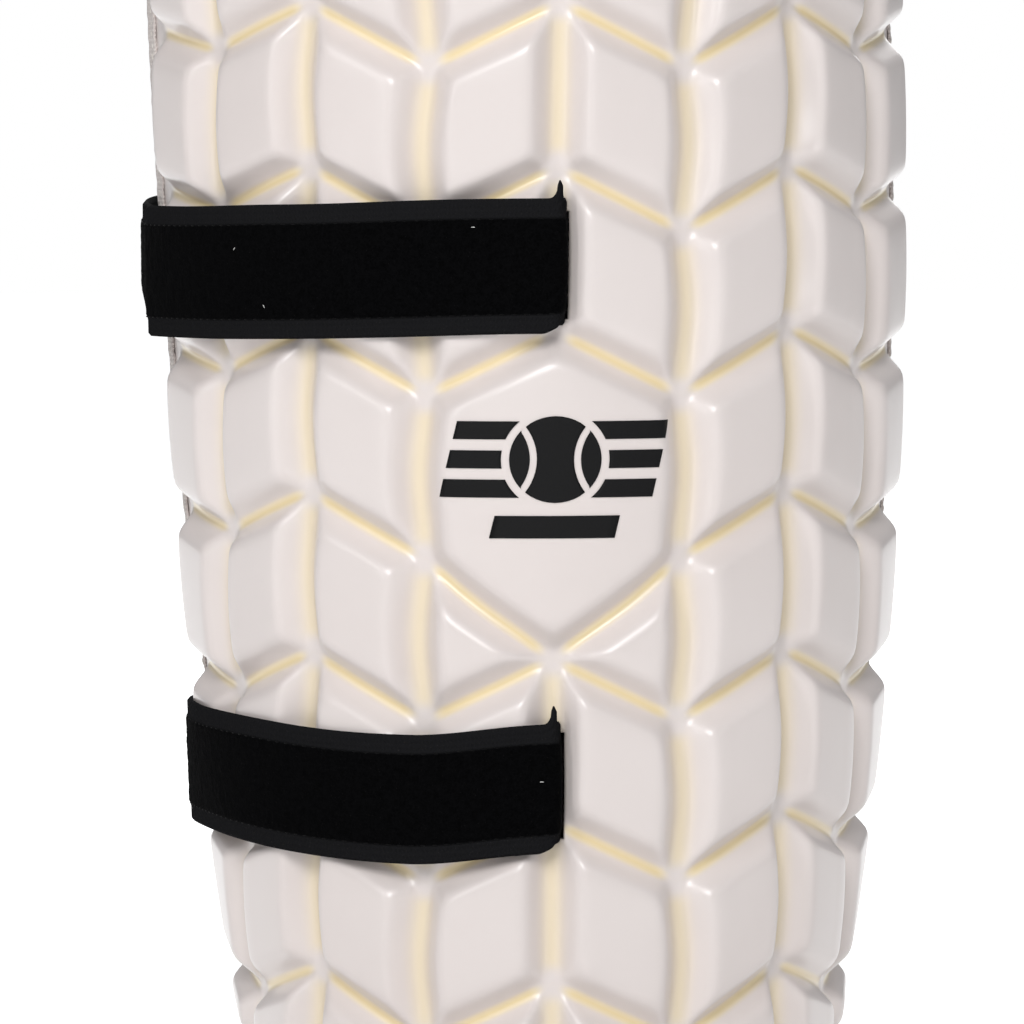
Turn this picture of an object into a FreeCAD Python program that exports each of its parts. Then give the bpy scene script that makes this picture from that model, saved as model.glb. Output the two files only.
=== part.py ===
import FreeCAD
import Part
import math
import os

# Moulded cricket thigh guard. Millimetres, +Z up, the guarded leg stands on the +Y side
# and the front of the pad faces -Y. The origin is at the middle of the resting edge.

# ---- Driving dimensions: the pad -------------------------------------------------
HEIGHT = 385.0
COLUMN_PITCH = 37.5          # arc length from one vertical groove to the next
COLUMNS_PER_SIDE = 4
EDGE_MARGIN = 14.0           # flat rim outside the last column
ROW_PITCH = 47.75
FIRST_ROW = 40.3             # height of the lowest groove peak on the centre line
ZIGZAG_DEEP = 18.7           # how far the grooves drop at the first column line
ZIGZAG_SHALLOW = 13.8        # at the third one
ZIGZAG_EDGE = 7.9            # and at the last one
BLOCK_HEIGHT = 7.0
GROOVE_HALF = 2.0
FLANK_WIDTH = 5.0

SHELL_WALL = 5.0             # moulded wall under the blocks
FOAM_WALL = 8.0
LINER_WALL = 3.0
LAYER_GAP = 0.2

# The section turns faster round its corners than over the front and the flanks.
FRONT_ARC = 52.0
CORNER_ARC = 48.0
FRONT_RATE = 0.566           # degrees of turn per millimetre of arc
CORNER_RATE = 0.656
FLANK_RATE = 0.547
BEND_TOP = 0.854             # the whole section opens a little towards the top
BEND_GAIN = 0.292            # and closes towards the bottom
BEND_POWER = 3.2             # mostly near the bottom

SHOULDER_DEPTH = 50.0        # behind this depth the top and bottom edges slope
OUTER_TOP_DROP = 34.0        # per hundred millimetres of depth, -X side
INNER_TOP_DROP = 66.0        # the inner-thigh corner, +X side, is cut lower
BOTTOM_RISE = 18.0

# ---- Driving dimensions: edge binding ---------------------------------------------
BINDING_WALL = 1.6
BINDING_LIP = 6.0
BLOCK_TO_BINDING = 1.5

# ---- Driving dimensions: straps ----------------------------------------------------
STRAP_WIDTH = 39.0
STRAP_WALL = 2.6
STRAP_CLEARANCE = 0.4
STRAP_LEVELS = {"upper": 249.5, "lower": 99.0}
SLIT_LINING_WALL = 0.8
SLIT_CENTRE = 1.8            # the slits open just to the +X side of the centre line
PATCH_WALL = 1.5
PATCH_MARGIN = 7.0
PATCH_REACH = 22.0
TAB_ON_PAD = 24.0            # length of the sewn tab on the inner face
TAB_BEHIND_EDGE = 16.0
BODY_GAP = 0.3
HINGE_GAP = 0.6
LOOP_CORNER_RADIUS = 60.0
LOOP_CORNER_TURN = 60.0
REAR_CORNER_RADIUS = 50.0
TRIM_SPARE = 6.0             # extra length that is trimmed square at a hinge
LOOP_BACK_RADIUS = 140.0
TAIL_BACK_TURN = 40.0
HOOK_WALL = 1.2
HOOK_TAB_TURN = 34.0         # overlap of the fastening tab on the back arc
HOOK_PATCH_MARGIN = 3.0      # degrees left bare at each end of the hook patch
PULL_TIP_TURN = 8.0
PULL_TIP_WALL = 1.8
TACK_WIDTH = 1.8
TACK_HEIGHT = 0.7
TACK_SPACING = 12.0

# ---- Driving dimensions: emblem ----------------------------------------------------
PRINT_WALL = 0.3
DISC_RADIUS = 12.5
DISC_RISE = 6.0              # the disc's centre above the middle of the panel
SEAM_RADIUS = 16.0
SEAM_WIDTH = 1.9
SEAM_CENTRE = 21.0
WING_BARS = 3
WING_LENGTH = 14.5
WING_HEIGHT = 5.2
WING_PITCH = 8.4
WING_GAP = 2.2               # between the disc and its wings
SLANT = 0.22                 # sideways lean of the bars per unit of height
BAR_LENGTH = 34.0
BAR_HEIGHT = 6.5
BAR_DROP = 19.5              # the bar's middle below the disc's centre

SIDE_EDGE = COLUMNS_PER_SIDE * COLUMN_PITCH + EDGE_MARGIN
PAD_WALL = SHELL_WALL + FOAM_WALL + LINER_WALL + 2 * LAYER_GAP
STRAP_SEAT = BLOCK_HEIGHT + STRAP_CLEARANCE
STATIONS = 5
PANEL_TOP_ROW = 4
PANEL_MIDDLE_ROW = 3
PANEL_BOTTOM_ROW = 2
FAR = 400.0


# ---- The pad's reference surface ----------------------------------------------------
def bend(z):
    """Scale of the section's curvature at height z."""
    return BEND_TOP + BEND_GAIN * (1.0 - z / HEIGHT) ** BEND_POWER


def pieces_to(arc_length, z):
    """(length, curvature) of each arc from the centre line out to arc_length."""
    lengths = (FRONT_ARC, CORNER_ARC, FAR)
    rates = (FRONT_RATE, CORNER_RATE, FLANK_RATE)
    left = arc_length
    for length, rate in zip(lengths, rates):
        step = min(left, length)
        if step > 0.0:
            yield step, math.radians(rate) * bend(z)
        left -= step


def pose(s, z):
    """x, y and heading of the reference surface at arc position s and height z."""
    x, y, turn = 0.0, 0.0, 0.0
    for step, curvature in pieces_to(abs(s), z):
        after = turn + curvature * step
        x += (math.sin(after) - math.sin(turn)) / curvature
        y += (math.cos(turn) - math.cos(after)) / curvature
        turn = after
    side = -1.0 if s < 0 else 1.0
    return side * x, y, side * turn


def on_surface(s, z, out):
    """Point at arc position s and height z, out millimetres off the reference surface."""
    x, y, turn = pose(s, z)
    return FreeCAD.Vector(x + out * math.sin(turn), y - out * math.cos(turn), z)


def arc_chain(stops, z, out):
    """Arcs that follow the section through the given stops."""
    edges = []
    for start, end in zip(stops, stops[1:]):
        first = on_surface(start, z, out)
        middle = on_surface((start + end) / 2, z, out)
        last = on_surface(end, z, out)
        edges.append(Part.Arc(first, middle, last).toShape())
    return edges


def section(s_from, s_to, out, inner, z):
    """Closed outline of a layer between two offsets at height z."""
    corner = FRONT_ARC + CORNER_ARC
    breaks = [s for s in (-corner, -FRONT_ARC, FRONT_ARC, corner) if s_from < s < s_to]
    stops = [s_from] + breaks + [s_to]
    edges = arc_chain(stops, z, out)
    edges.append(Part.makeLine(on_surface(s_to, z, out), on_surface(s_to, z, inner)))
    edges += arc_chain(stops[::-1], z, inner)
    edges.append(Part.makeLine(on_surface(s_from, z, inner), on_surface(s_from, z, out)))
    return Part.Wire(edges)


def layer(s_from, s_to, out, inner, z_from=0.0, z_to=HEIGHT):
    """Solid layer that follows the reference surface."""
    heights = [z_from + (z_to - z_from) * i / (STATIONS - 1) for i in range(STATIONS)]
    return Part.makeLoft([section(s_from, s_to, out, inner, z) for z in heights], True)


def side_profile(side, inset):
    """Prism of the pad's outline seen from the side, for one half of the pad."""
    drop = (OUTER_TOP_DROP if side < 0 else INNER_TOP_DROP) / 100.0
    rise = BOTTOM_RISE / 100.0
    behind = FAR - SHOULDER_DEPTH
    outline = [
        (-FAR, inset),
        (SHOULDER_DEPTH, inset),
        (FAR, inset + rise * behind),
        (FAR, HEIGHT - inset - drop * behind),
        (SHOULDER_DEPTH, HEIGHT - inset),
        (-FAR, HEIGHT - inset),
    ]
    points = [FreeCAD.Vector(0, y, z) for y, z in outline]
    face = Part.Face(Part.makePolygon(points + points[:1]))
    return face.extrude(FreeCAD.Vector(side * FAR, 0, 0))


def trimmed(shape, inset):
    """The shape cut to the pad's outline, inset from its edge."""
    return shape.common(side_profile(-1, inset).fuse(side_profile(1, inset)).removeSplitter())


# ---- The block pattern ---------------------------------------------------------------
def zigzag(column_line, row):
    """Arc position and height of one meeting point of the grooves."""
    drops = {1: ZIGZAG_DEEP, 3: ZIGZAG_SHALLOW, COLUMNS_PER_SIDE: ZIGZAG_EDGE}
    z = FIRST_ROW + row * ROW_PITCH - drops.get(abs(column_line), 0.0)
    return column_line * COLUMN_PITCH, z


def edge_height(s, top, inset):
    """Height of the top or bottom outline at arc position s."""
    level = HEIGHT if top else 0.0
    behind = max(0.0, pose(s, level)[1] - SHOULDER_DEPTH) / 100.0
    if not top:
        return inset + BOTTOM_RISE * behind
    drop = OUTER_TOP_DROP if s < 0 else INNER_TOP_DROP
    return HEIGHT - inset - drop * behind


def clipped(points, keep):
    """Convex outline cut by the line where keep(point) changes sign."""
    result = []
    for here, after in zip(points, points[1:] + points[:1]):
        a, b = keep(here), keep(after)
        if a >= 0:
            result.append(here)
        if a * b < 0:
            t = a / (a - b)
            result.append((here[0] + t * (after[0] - here[0]), here[1] + t * (after[1] - here[1])))
    return result


def inset_outline(points, distance):
    """Convex counter-clockwise outline moved inwards by distance on every side."""
    result = points
    for a, b in zip(points, points[1:] + points[:1]):
        dx, dy = b[0] - a[0], b[1] - a[1]
        length = math.hypot(dx, dy)
        result = clipped(result, lambda p: (dx * (p[1] - a[1]) - dy * (p[0] - a[0])) / length - distance)
    return result


def outline_area(points):
    """Area enclosed by an outline."""
    pairs = zip(points, points[1:] + points[:1])
    return abs(sum(a[0] * b[1] - b[0] * a[1] for a, b in pairs)) / 2


def cells():
    """Outlines of all the raised cells between the groove lines, in arc position and height."""
    top_row = int(HEIGHT / ROW_PITCH) + 1
    for column in range(-COLUMNS_PER_SIDE, COLUMNS_PER_SIDE):
        for row in range(-1, top_row):
            beside_panel = column in (-1, 0)
            if beside_panel and row == PANEL_MIDDLE_ROW:
                continue
            low = [zigzag(column, row), zigzag(column + 1, row)]
            high = [zigzag(column + 1, row + 1), zigzag(column, row + 1)]
            if beside_panel and row == PANEL_BOTTOM_ROW:
                high = [high[1]] if column == -1 else [high[0]]
            yield low + high


def panel_outline():
    """Outline of the smooth panel that carries the emblem."""
    corners = ((0, PANEL_BOTTOM_ROW), (1, PANEL_MIDDLE_ROW), (1, PANEL_TOP_ROW), (0, PANEL_TOP_ROW))
    right = [zigzag(line, row) for line, row in corners]
    left = [(-s, z) for s, z in right[2:0:-1]]
    return right + left


def inside_rim(points):
    """The cell cut back to clear the edge binding."""
    rim = BINDING_WALL + BINDING_LIP + BLOCK_TO_BINDING
    side = SIDE_EDGE - rim
    points = clipped(points, lambda p: p[0] + side)
    points = clipped(points, lambda p: side - p[0])
    points = clipped(points, lambda p: p[1] - edge_height(p[0], False, rim))
    return clipped(points, lambda p: edge_height(p[0], True, rim) - p[1])


def raised_block(outline, height):
    """Solid with sloping flanks that stands on the shell, rooted inside its wall."""
    foot = inset_outline(outline, GROOVE_HALF)
    crown = inset_outline(outline, GROOVE_HALF + FLANK_WIDTH)
    if len(foot) != len(crown) or outline_area(crown) < COLUMN_PITCH:
        return None
    low = [on_surface(s, z, -SHELL_WALL / 3) for s, z in foot]
    high = [on_surface(s, z, height) for s, z in crown]
    faces = []
    for i in range(1, len(low) - 1):
        faces.append((low[0], low[i], low[i + 1]))
        faces.append((high[0], high[i], high[i + 1]))
    for i in range(len(low)):
        j = (i + 1) % len(low)
        faces.append((low[i], low[j], high[j]))
        faces.append((low[i], high[j], high[i]))
    shell = Part.makeShell([Part.Face(Part.makePolygon([a, b, c, a])) for a, b, c in faces])
    solid = Part.makeSolid(shell)
    if solid.Volume < 0:
        solid.reverse()
    return solid


def prism_through(outline, y_from, y_to):
    """Outline drawn on the front elevation and carried straight back through the pad."""
    points = [FreeCAD.Vector(on_surface(s, z, 0).x, y_from, z) for s, z in outline]
    face = Part.Face(Part.makePolygon(points + points[:1]))
    return face.extrude(FreeCAD.Vector(0, y_to - y_from, 0))


def emblem_panel():
    """Smooth raised panel at the front."""
    outline = inset_outline(panel_outline(), GROOVE_HALF + FLANK_WIDTH / 2)
    panel = layer(-COLUMN_PITCH, COLUMN_PITCH, BLOCK_HEIGHT, -SHELL_WALL / 3)
    return panel.common(prism_through(outline, -FAR, FAR))


def strap_slot(level, clearance):
    """Straight slit through the shell wall for a strap."""
    half = STRAP_WIDTH / 2 + clearance
    width = STRAP_WALL + 2 * clearance
    corner = FreeCAD.Vector(SLIT_CENTRE - width / 2, -BLOCK_HEIGHT, level - half)
    return Part.makeBox(width, BLOCK_HEIGHT + SHELL_WALL + LAYER_GAP, 2 * half, corner)


def make_moulded_shell():
    wall = trimmed(layer(-SIDE_EDGE + BINDING_WALL, SIDE_EDGE - BINDING_WALL, 0, -SHELL_WALL), BINDING_WALL)
    blocks = [raised_block(inside_rim(cell), BLOCK_HEIGHT) for cell in cells()]
    shell = wall.multiFuse([block for block in blocks if block] + [emblem_panel()])
    for level in STRAP_LEVELS.values():
        shell = shell.cut(strap_slot(level, BODY_GAP + SLIT_LINING_WALL))
    return shell


# ---- Layers behind the shell, and the binding round them ------------------------------
def anchor_patch(level, clearance=0.0):
    """Woven patch behind a slit, to which the strap is sewn."""
    out = -SHELL_WALL - LAYER_GAP
    half = STRAP_WIDTH / 2 + PATCH_MARGIN + clearance
    inner = out - PATCH_WALL - clearance
    s_from = -PATCH_REACH - clearance
    s_to = PATCH_MARGIN + clearance
    return layer(s_from, s_to, out + clearance, inner, level - half, level + half)


def make_foam_layer():
    out = -SHELL_WALL - LAYER_GAP
    side = SIDE_EDGE - BINDING_WALL
    foam = trimmed(layer(-side, side, out, out - FOAM_WALL), BINDING_WALL)
    for level in STRAP_LEVELS.values():
        foam = foam.cut(anchor_patch(level, BODY_GAP))
    return foam


def make_comfort_liner():
    out = -SHELL_WALL - FOAM_WALL - 2 * LAYER_GAP
    side = SIDE_EDGE - BINDING_WALL
    return trimmed(layer(-side, side, out, out - LINER_WALL), BINDING_WALL)


def make_edge_binding():
    over = layer(-SIDE_EDGE, SIDE_EDGE, BINDING_WALL, -PAD_WALL - BINDING_WALL)
    side = SIDE_EDGE - BINDING_WALL
    core = layer(-side, side, LAYER_GAP / 2, -PAD_WALL - LAYER_GAP / 2)
    window = layer(-side + BINDING_LIP, side - BINDING_LIP, BLOCK_HEIGHT, -PAD_WALL - BLOCK_HEIGHT)
    channel = trimmed(over, 0.0).cut(trimmed(core, BINDING_WALL))
    return channel.cut(trimmed(window, BINDING_WALL + BINDING_LIP))


# ---- Emblem ----------------------------------------------------------------------------
def disc_prism(x, z, radius):
    """Disc that faces the front, carried through the pad."""
    base = FreeCAD.Vector(x, -FAR, z)
    return Part.makeCylinder(radius, 2 * FAR, base, FreeCAD.Vector(0, 1, 0))


def slanted_prism(x_from, x_to, z, height):
    """Leaning bar that faces the front, carried through the pad."""
    lean = SLANT * height / 2
    low, high = z - height / 2, z + height / 2
    corners = [(x_from - lean, low), (x_to - lean, low), (x_to + lean, high), (x_from + lean, high)]
    points = [FreeCAD.Vector(x, -FAR, level) for x, level in corners]
    face = Part.Face(Part.makePolygon(points + points[:1]))
    return face.extrude(FreeCAD.Vector(0, 2 * FAR, 0))


def make_emblem_print():
    """Plain ball disc with two curved seams, stepped bars at its sides and a bar below."""
    middle = (zigzag(1, PANEL_TOP_ROW)[1] + zigzag(1, PANEL_MIDDLE_ROW)[1]) / 2
    level = middle + DISC_RISE
    disc = disc_prism(0.0, level, DISC_RADIUS)
    clear = disc_prism(0.0, level, DISC_RADIUS + WING_GAP)
    mark = slanted_prism(-BAR_LENGTH / 2, BAR_LENGTH / 2, level - BAR_DROP, BAR_HEIGHT)
    for side in (-1, 1):
        centre = side * SEAM_CENTRE
        seam = disc_prism(centre, level, SEAM_RADIUS)
        seam = seam.cut(disc_prism(centre, level, SEAM_RADIUS - SEAM_WIDTH))
        disc = disc.cut(seam)
        for i in range(WING_BARS):
            z = level + (i - (WING_BARS - 1) / 2) * WING_PITCH
            lean = SLANT * (z - level)
            ends = sorted((0.0, side * (DISC_RADIUS + WING_GAP + WING_LENGTH)))
            wing = slanted_prism(ends[0] + lean, ends[1] + lean, z, WING_HEIGHT)
            mark = mark.fuse(wing.cut(clear))
    seat = BLOCK_HEIGHT + LAYER_GAP / 2
    film = layer(-COLUMN_PITCH, COLUMN_PITCH, seat + PRINT_WALL, seat)
    front = Part.makeBox(2 * FAR, FAR, HEIGHT, FreeCAD.Vector(-FAR, COLUMN_PITCH / 2 - FAR, 0))
    return film.common(disc.fuse(mark)).common(front)


# ---- Straps ------------------------------------------------------------------------------
class Ribbon:
    """Flat strap seen from above: a chain of straight runs and tangent arcs."""

    def __init__(self, x, y, heading):
        self.poses = [(x, y, heading)]
        self.middles = []

    def run(self, length, turn=0.0):
        """Adds a run of the given length that turns by turn degrees in all."""
        for share in (0.5, 1.0):
            x, y, heading = self.poses[-1]
            angle = math.radians(turn) * share
            travel = length * share
            if abs(angle) > 1e-9:
                radius = travel / angle
                x += radius * (math.sin(heading + angle) - math.sin(heading))
                y += radius * (math.cos(heading) - math.cos(heading + angle))
            else:
                x += travel * math.cos(heading)
                y += travel * math.sin(heading)
            if share < 1.0:
                self.middles.append((x, y, heading + angle))
            else:
                self.poses.append((x, y, heading + angle))
        return self

    def point(self, at, side, z):
        """Point beside the chain, side millimetres to the left of the travel."""
        x, y, heading = at
        return FreeCAD.Vector(x - side * math.sin(heading), y + side * math.cos(heading), z)

    def side_edges(self, side, z):
        """Edges of the chain moved sideways."""
        edges = []
        for first, middle, last in zip(self.poses, self.middles, self.poses[1:]):
            a, m, b = (self.point(at, side, z) for at in (first, middle, last))
            if abs(first[2] - last[2]) > 1e-9:
                edges.append(Part.Arc(a, m, b).toShape())
            else:
                edges.append(Part.makeLine(a, b))
        return edges

    def solid(self, left, right, level, width=STRAP_WIDTH):
        """Solid between two sideways offsets, centred on the level."""
        z = level - width / 2
        edges = self.side_edges(left, z) + self.side_edges(right, z)
        for at in (self.poses[0], self.poses[-1]):
            edges.append(Part.makeLine(self.point(at, left, z), self.point(at, right, z)))
        wire = Part.Wire(Part.__sortEdges__(edges))
        return Part.Face(wire).extrude(FreeCAD.Vector(0, 0, width))


def tail_start(level):
    """Where the strap leaves the pad at the -X edge: x, y and direction of travel."""
    s = -SIDE_EDGE
    at = on_surface(s, level, STRAP_SEAT + STRAP_WALL / 2)
    return at.x, at.y, math.pi + pose(s, level)[2]


def trimmed_square(shape, x, y, heading):
    """The shape without what lies past the upright plane across the travel at x, y."""
    cutter = Part.makeBox(FAR, FAR, 2 * HEIGHT, FreeCAD.Vector(0, -FAR / 2, -HEIGHT / 2))
    cutter.rotate(FreeCAD.Vector(0, 0, 0), FreeCAD.Vector(0, 0, 1), math.degrees(heading))
    cutter.translate(FreeCAD.Vector(x, y, 0))
    return shape.cut(cutter)


def tail_ribbon(level):
    """Loop-faced strap tail behind the -X edge."""
    x, y, heading = tail_start(level)
    lead = Ribbon(x + HINGE_GAP * math.cos(heading), y + HINGE_GAP * math.sin(heading), heading)
    lead.run(LOOP_CORNER_RADIUS * math.radians(LOOP_CORNER_TURN), -LOOP_CORNER_TURN)
    return lead.run(LOOP_BACK_RADIUS * math.radians(TAIL_BACK_TURN), -TAIL_BACK_TURN)


def back_centre(level):
    """Centre of the loop's back arc."""
    x, y, heading = tail_ribbon(level).poses[1]
    return x + LOOP_BACK_RADIUS * math.sin(heading), y - LOOP_BACK_RADIUS * math.cos(heading)


def tab_end(level):
    """Where the sewn tab ends behind the +X edge: x, y and direction of travel."""
    s = SIDE_EDGE + TAB_BEHIND_EDGE
    at = on_surface(s, level, -PAD_WALL - BINDING_WALL - BODY_GAP - STRAP_WALL / 2)
    return at.x, at.y, pose(s, level)[2]


def fastened_radius():
    """Radius of the fastening tab's middle when it lies on the tail."""
    return LOOP_BACK_RADIUS + STRAP_WALL + HOOK_WALL + BODY_GAP + LAYER_GAP / 2


def rear_ribbon(level):
    """Plain elastic from the sewn tab round to the fastening tab."""
    x, y, heading = tab_end(level)
    x += HINGE_GAP * math.cos(heading)
    y += HINGE_GAP * math.sin(heading)
    centre = back_centre(level)
    corner = REAR_CORNER_RADIUS
    from_centre = (x - corner * math.sin(heading) - centre[0], y + corner * math.cos(heading) - centre[1])
    along = from_centre[0] * math.cos(heading) + from_centre[1] * math.sin(heading)
    reach = fastened_radius() - corner
    distance = from_centre[0] ** 2 + from_centre[1] ** 2 - reach ** 2
    straight = -along + math.sqrt(along ** 2 - distance)
    meet_x = from_centre[0] + straight * math.cos(heading)
    meet_y = from_centre[1] + straight * math.sin(heading)
    meet = math.atan2(meet_y, meet_x)
    turn = meet + math.pi / 2 - heading
    ribbon = Ribbon(x, y, heading).run(straight).run(corner * turn, math.degrees(turn))
    gap_turn = BODY_GAP / fastened_radius()
    back_turn = tail_end_angle(level) - meet - gap_turn
    return ribbon.run(fastened_radius() * back_turn, math.degrees(back_turn))


def tail_end_angle(level):
    """Direction from the back arc's centre to the free end of the tail."""
    return tail_ribbon(level).poses[-1][2] + math.pi / 2


def back_arc(level, start_turn, turn, radius):
    """Ribbon on the back arc, from start_turn degrees past the end of the tail."""
    angle = tail_end_angle(level) + math.radians(start_turn)
    x, y = back_centre(level)
    start = Ribbon(x + radius * math.cos(angle), y + radius * math.sin(angle), angle + math.pi / 2)
    return start.run(radius * math.radians(turn), turn)


def make_front_strap(level):
    """Elastic over the blocks, with the leg that goes in through the slit."""
    half = STRAP_WIDTH / 2
    root = SLIT_CENTRE - STRAP_WALL / 2
    out = STRAP_SEAT + STRAP_WALL
    spare = -SIDE_EDGE - TRIM_SPARE
    run = layer(spare, root + STRAP_WALL, out, STRAP_SEAT, level - half, level + half)
    run = trimmed_square(run, *tail_start(level))
    corner = FreeCAD.Vector(root, -STRAP_SEAT - STRAP_WALL / 2, level - half)
    depth = STRAP_SEAT + STRAP_WALL / 2 + SHELL_WALL
    leg = Part.makeBox(STRAP_WALL, depth, STRAP_WIDTH, corner)
    return run.fuse(leg)


def make_slit_lining(level):
    """Folded tape that lines a slit."""
    outer = strap_slot(level, BODY_GAP + SLIT_LINING_WALL - LAYER_GAP / 2)
    inner = strap_slot(level, BODY_GAP / 2)
    wall = Part.makeBox(FAR, SHELL_WALL, HEIGHT, FreeCAD.Vector(-FAR / 2, LAYER_GAP / 2, 0))
    return outer.cut(inner).common(wall)


def make_anchor_tab(level):
    """Webbing tab sewn on the inner face at the +X edge."""
    half = STRAP_WIDTH / 2
    out = -PAD_WALL - BINDING_WALL - BODY_GAP
    s_to = SIDE_EDGE + TAB_BEHIND_EDGE + TRIM_SPARE
    s_from = SIDE_EDGE - TAB_ON_PAD
    tab = layer(s_from, s_to, out, out - STRAP_WALL, level - half, level + half)
    return trimmed_square(tab, *tab_end(level))


def make_bar_tacks(level):
    """Bar-tack stitches that hold the tab."""
    seat = -PAD_WALL - BINDING_WALL - BODY_GAP - STRAP_WALL - LAYER_GAP / 2
    half = STRAP_WIDTH / 2 - 2 * TACK_WIDTH
    tacks = []
    for i in range(2):
        s = SIDE_EDGE - TAB_ON_PAD + 2 * TACK_WIDTH + i * TACK_SPACING
        tacks.append(layer(s, s + TACK_WIDTH, seat, seat - TACK_HEIGHT, level - half, level + half))
    return Part.makeCompound(tacks)


def make_tail_strap(level):
    return tail_ribbon(level).solid(STRAP_WALL / 2, -STRAP_WALL / 2, level)


def make_rear_elastic(level):
    return rear_ribbon(level).solid(STRAP_WALL / 2, -STRAP_WALL / 2, level)


def make_fastening_tab(level):
    tab = back_arc(level, 0.0, HOOK_TAB_TURN, fastened_radius())
    return tab.solid(STRAP_WALL / 2, -STRAP_WALL / 2, level)


def make_hook_patch(level):
    """Hook tape under the fastening tab."""
    radius = fastened_radius()
    turn = HOOK_TAB_TURN - 2 * HOOK_PATCH_MARGIN
    inner = STRAP_WALL / 2 + LAYER_GAP / 2
    return back_arc(level, HOOK_PATCH_MARGIN, turn, radius).solid(inner + HOOK_WALL, inner, level)


def make_pull_tip(level):
    """Moulded grip on the free end of the fastening tab."""
    gap = math.degrees(LAYER_GAP / 2 / fastened_radius())
    tip = back_arc(level, HOOK_TAB_TURN + gap, PULL_TIP_TURN, fastened_radius())
    return tip.solid(PULL_TIP_WALL / 2, -PULL_TIP_WALL / 2, level)


STRAP_PARTS = {
    "front_strap": make_front_strap,
    "slit_lining": make_slit_lining,
    "anchor_patch": anchor_patch,
    "anchor_tab": make_anchor_tab,
    "bar_tacks": make_bar_tacks,
    "tail_strap": make_tail_strap,
    "rear_elastic": make_rear_elastic,
    "fastening_tab": make_fastening_tab,
    "hook_patch": make_hook_patch,
    "pull_tip": make_pull_tip,
}


def hinge_report(level):
    """Hinge points at the outer face of the straps, for whoever reads the build's output."""
    out = STRAP_WALL / 2
    tail = tail_ribbon(level)
    rear = rear_ribbon(level)
    tab = back_arc(level, 0.0, HOOK_TAB_TURN, fastened_radius())
    for name, ribbon, side in (("tail", tail, out), ("rear", rear, -out), ("tab", tab, -out)):
        at = ribbon.point(ribbon.poses[0], side, level)
        print(name, "hinge at", round(at.x, 2), round(at.y, 2), round(at.z, 2))


def main():
    os.makedirs("parts", exist_ok=True)
    shapes = {
        "moulded_shell": make_moulded_shell(),
        "foam_layer": make_foam_layer(),
        "comfort_liner": make_comfort_liner(),
        "edge_binding": make_edge_binding(),
        "emblem_print": make_emblem_print(),
    }
    for name, level in STRAP_LEVELS.items():
        hinge_report(level)
        for part, make in STRAP_PARTS.items():
            shapes[f"{name}_{part}"] = make(level)
    for node, shape in shapes.items():
        shape.exportStep(f"parts/{node}.step")
        print(node, len(shape.Solids), "solid(s)", round(shape.Volume / 1000, 2), "cm3", shape.isValid())


main()
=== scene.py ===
import logging
import math
from dataclasses import dataclass, field
from enum import Enum
from typing import Callable, Sequence

import bmesh
import bpy
from mathutils import Matrix, Vector, noise


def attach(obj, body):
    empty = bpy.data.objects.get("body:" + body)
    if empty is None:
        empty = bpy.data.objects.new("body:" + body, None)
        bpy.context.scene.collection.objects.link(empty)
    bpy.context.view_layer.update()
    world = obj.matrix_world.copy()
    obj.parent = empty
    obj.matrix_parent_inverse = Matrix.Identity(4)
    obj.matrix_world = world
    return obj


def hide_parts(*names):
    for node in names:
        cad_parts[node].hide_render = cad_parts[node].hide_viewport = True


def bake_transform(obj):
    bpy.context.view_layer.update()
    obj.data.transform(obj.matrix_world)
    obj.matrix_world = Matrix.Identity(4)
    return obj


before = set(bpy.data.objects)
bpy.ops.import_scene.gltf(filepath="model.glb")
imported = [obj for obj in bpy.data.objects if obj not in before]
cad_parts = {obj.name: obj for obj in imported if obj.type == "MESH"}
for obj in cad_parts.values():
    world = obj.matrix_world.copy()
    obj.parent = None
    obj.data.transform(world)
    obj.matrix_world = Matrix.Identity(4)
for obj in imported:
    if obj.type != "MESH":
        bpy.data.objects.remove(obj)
LOG = logging.getLogger("leg_pad")
MM = 0.001
MERGE = 1e-7
WELD = 1e-6
Colour = tuple[float, float, float]
PlanPose = tuple[float, float, float]


def smooth(value: float) -> float:
    """Smooth step of a value that is held between 0 and 1."""
    t = min(1.0, max(0.0, value))
    return t * t * (3.0 - 2.0 * t)


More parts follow.
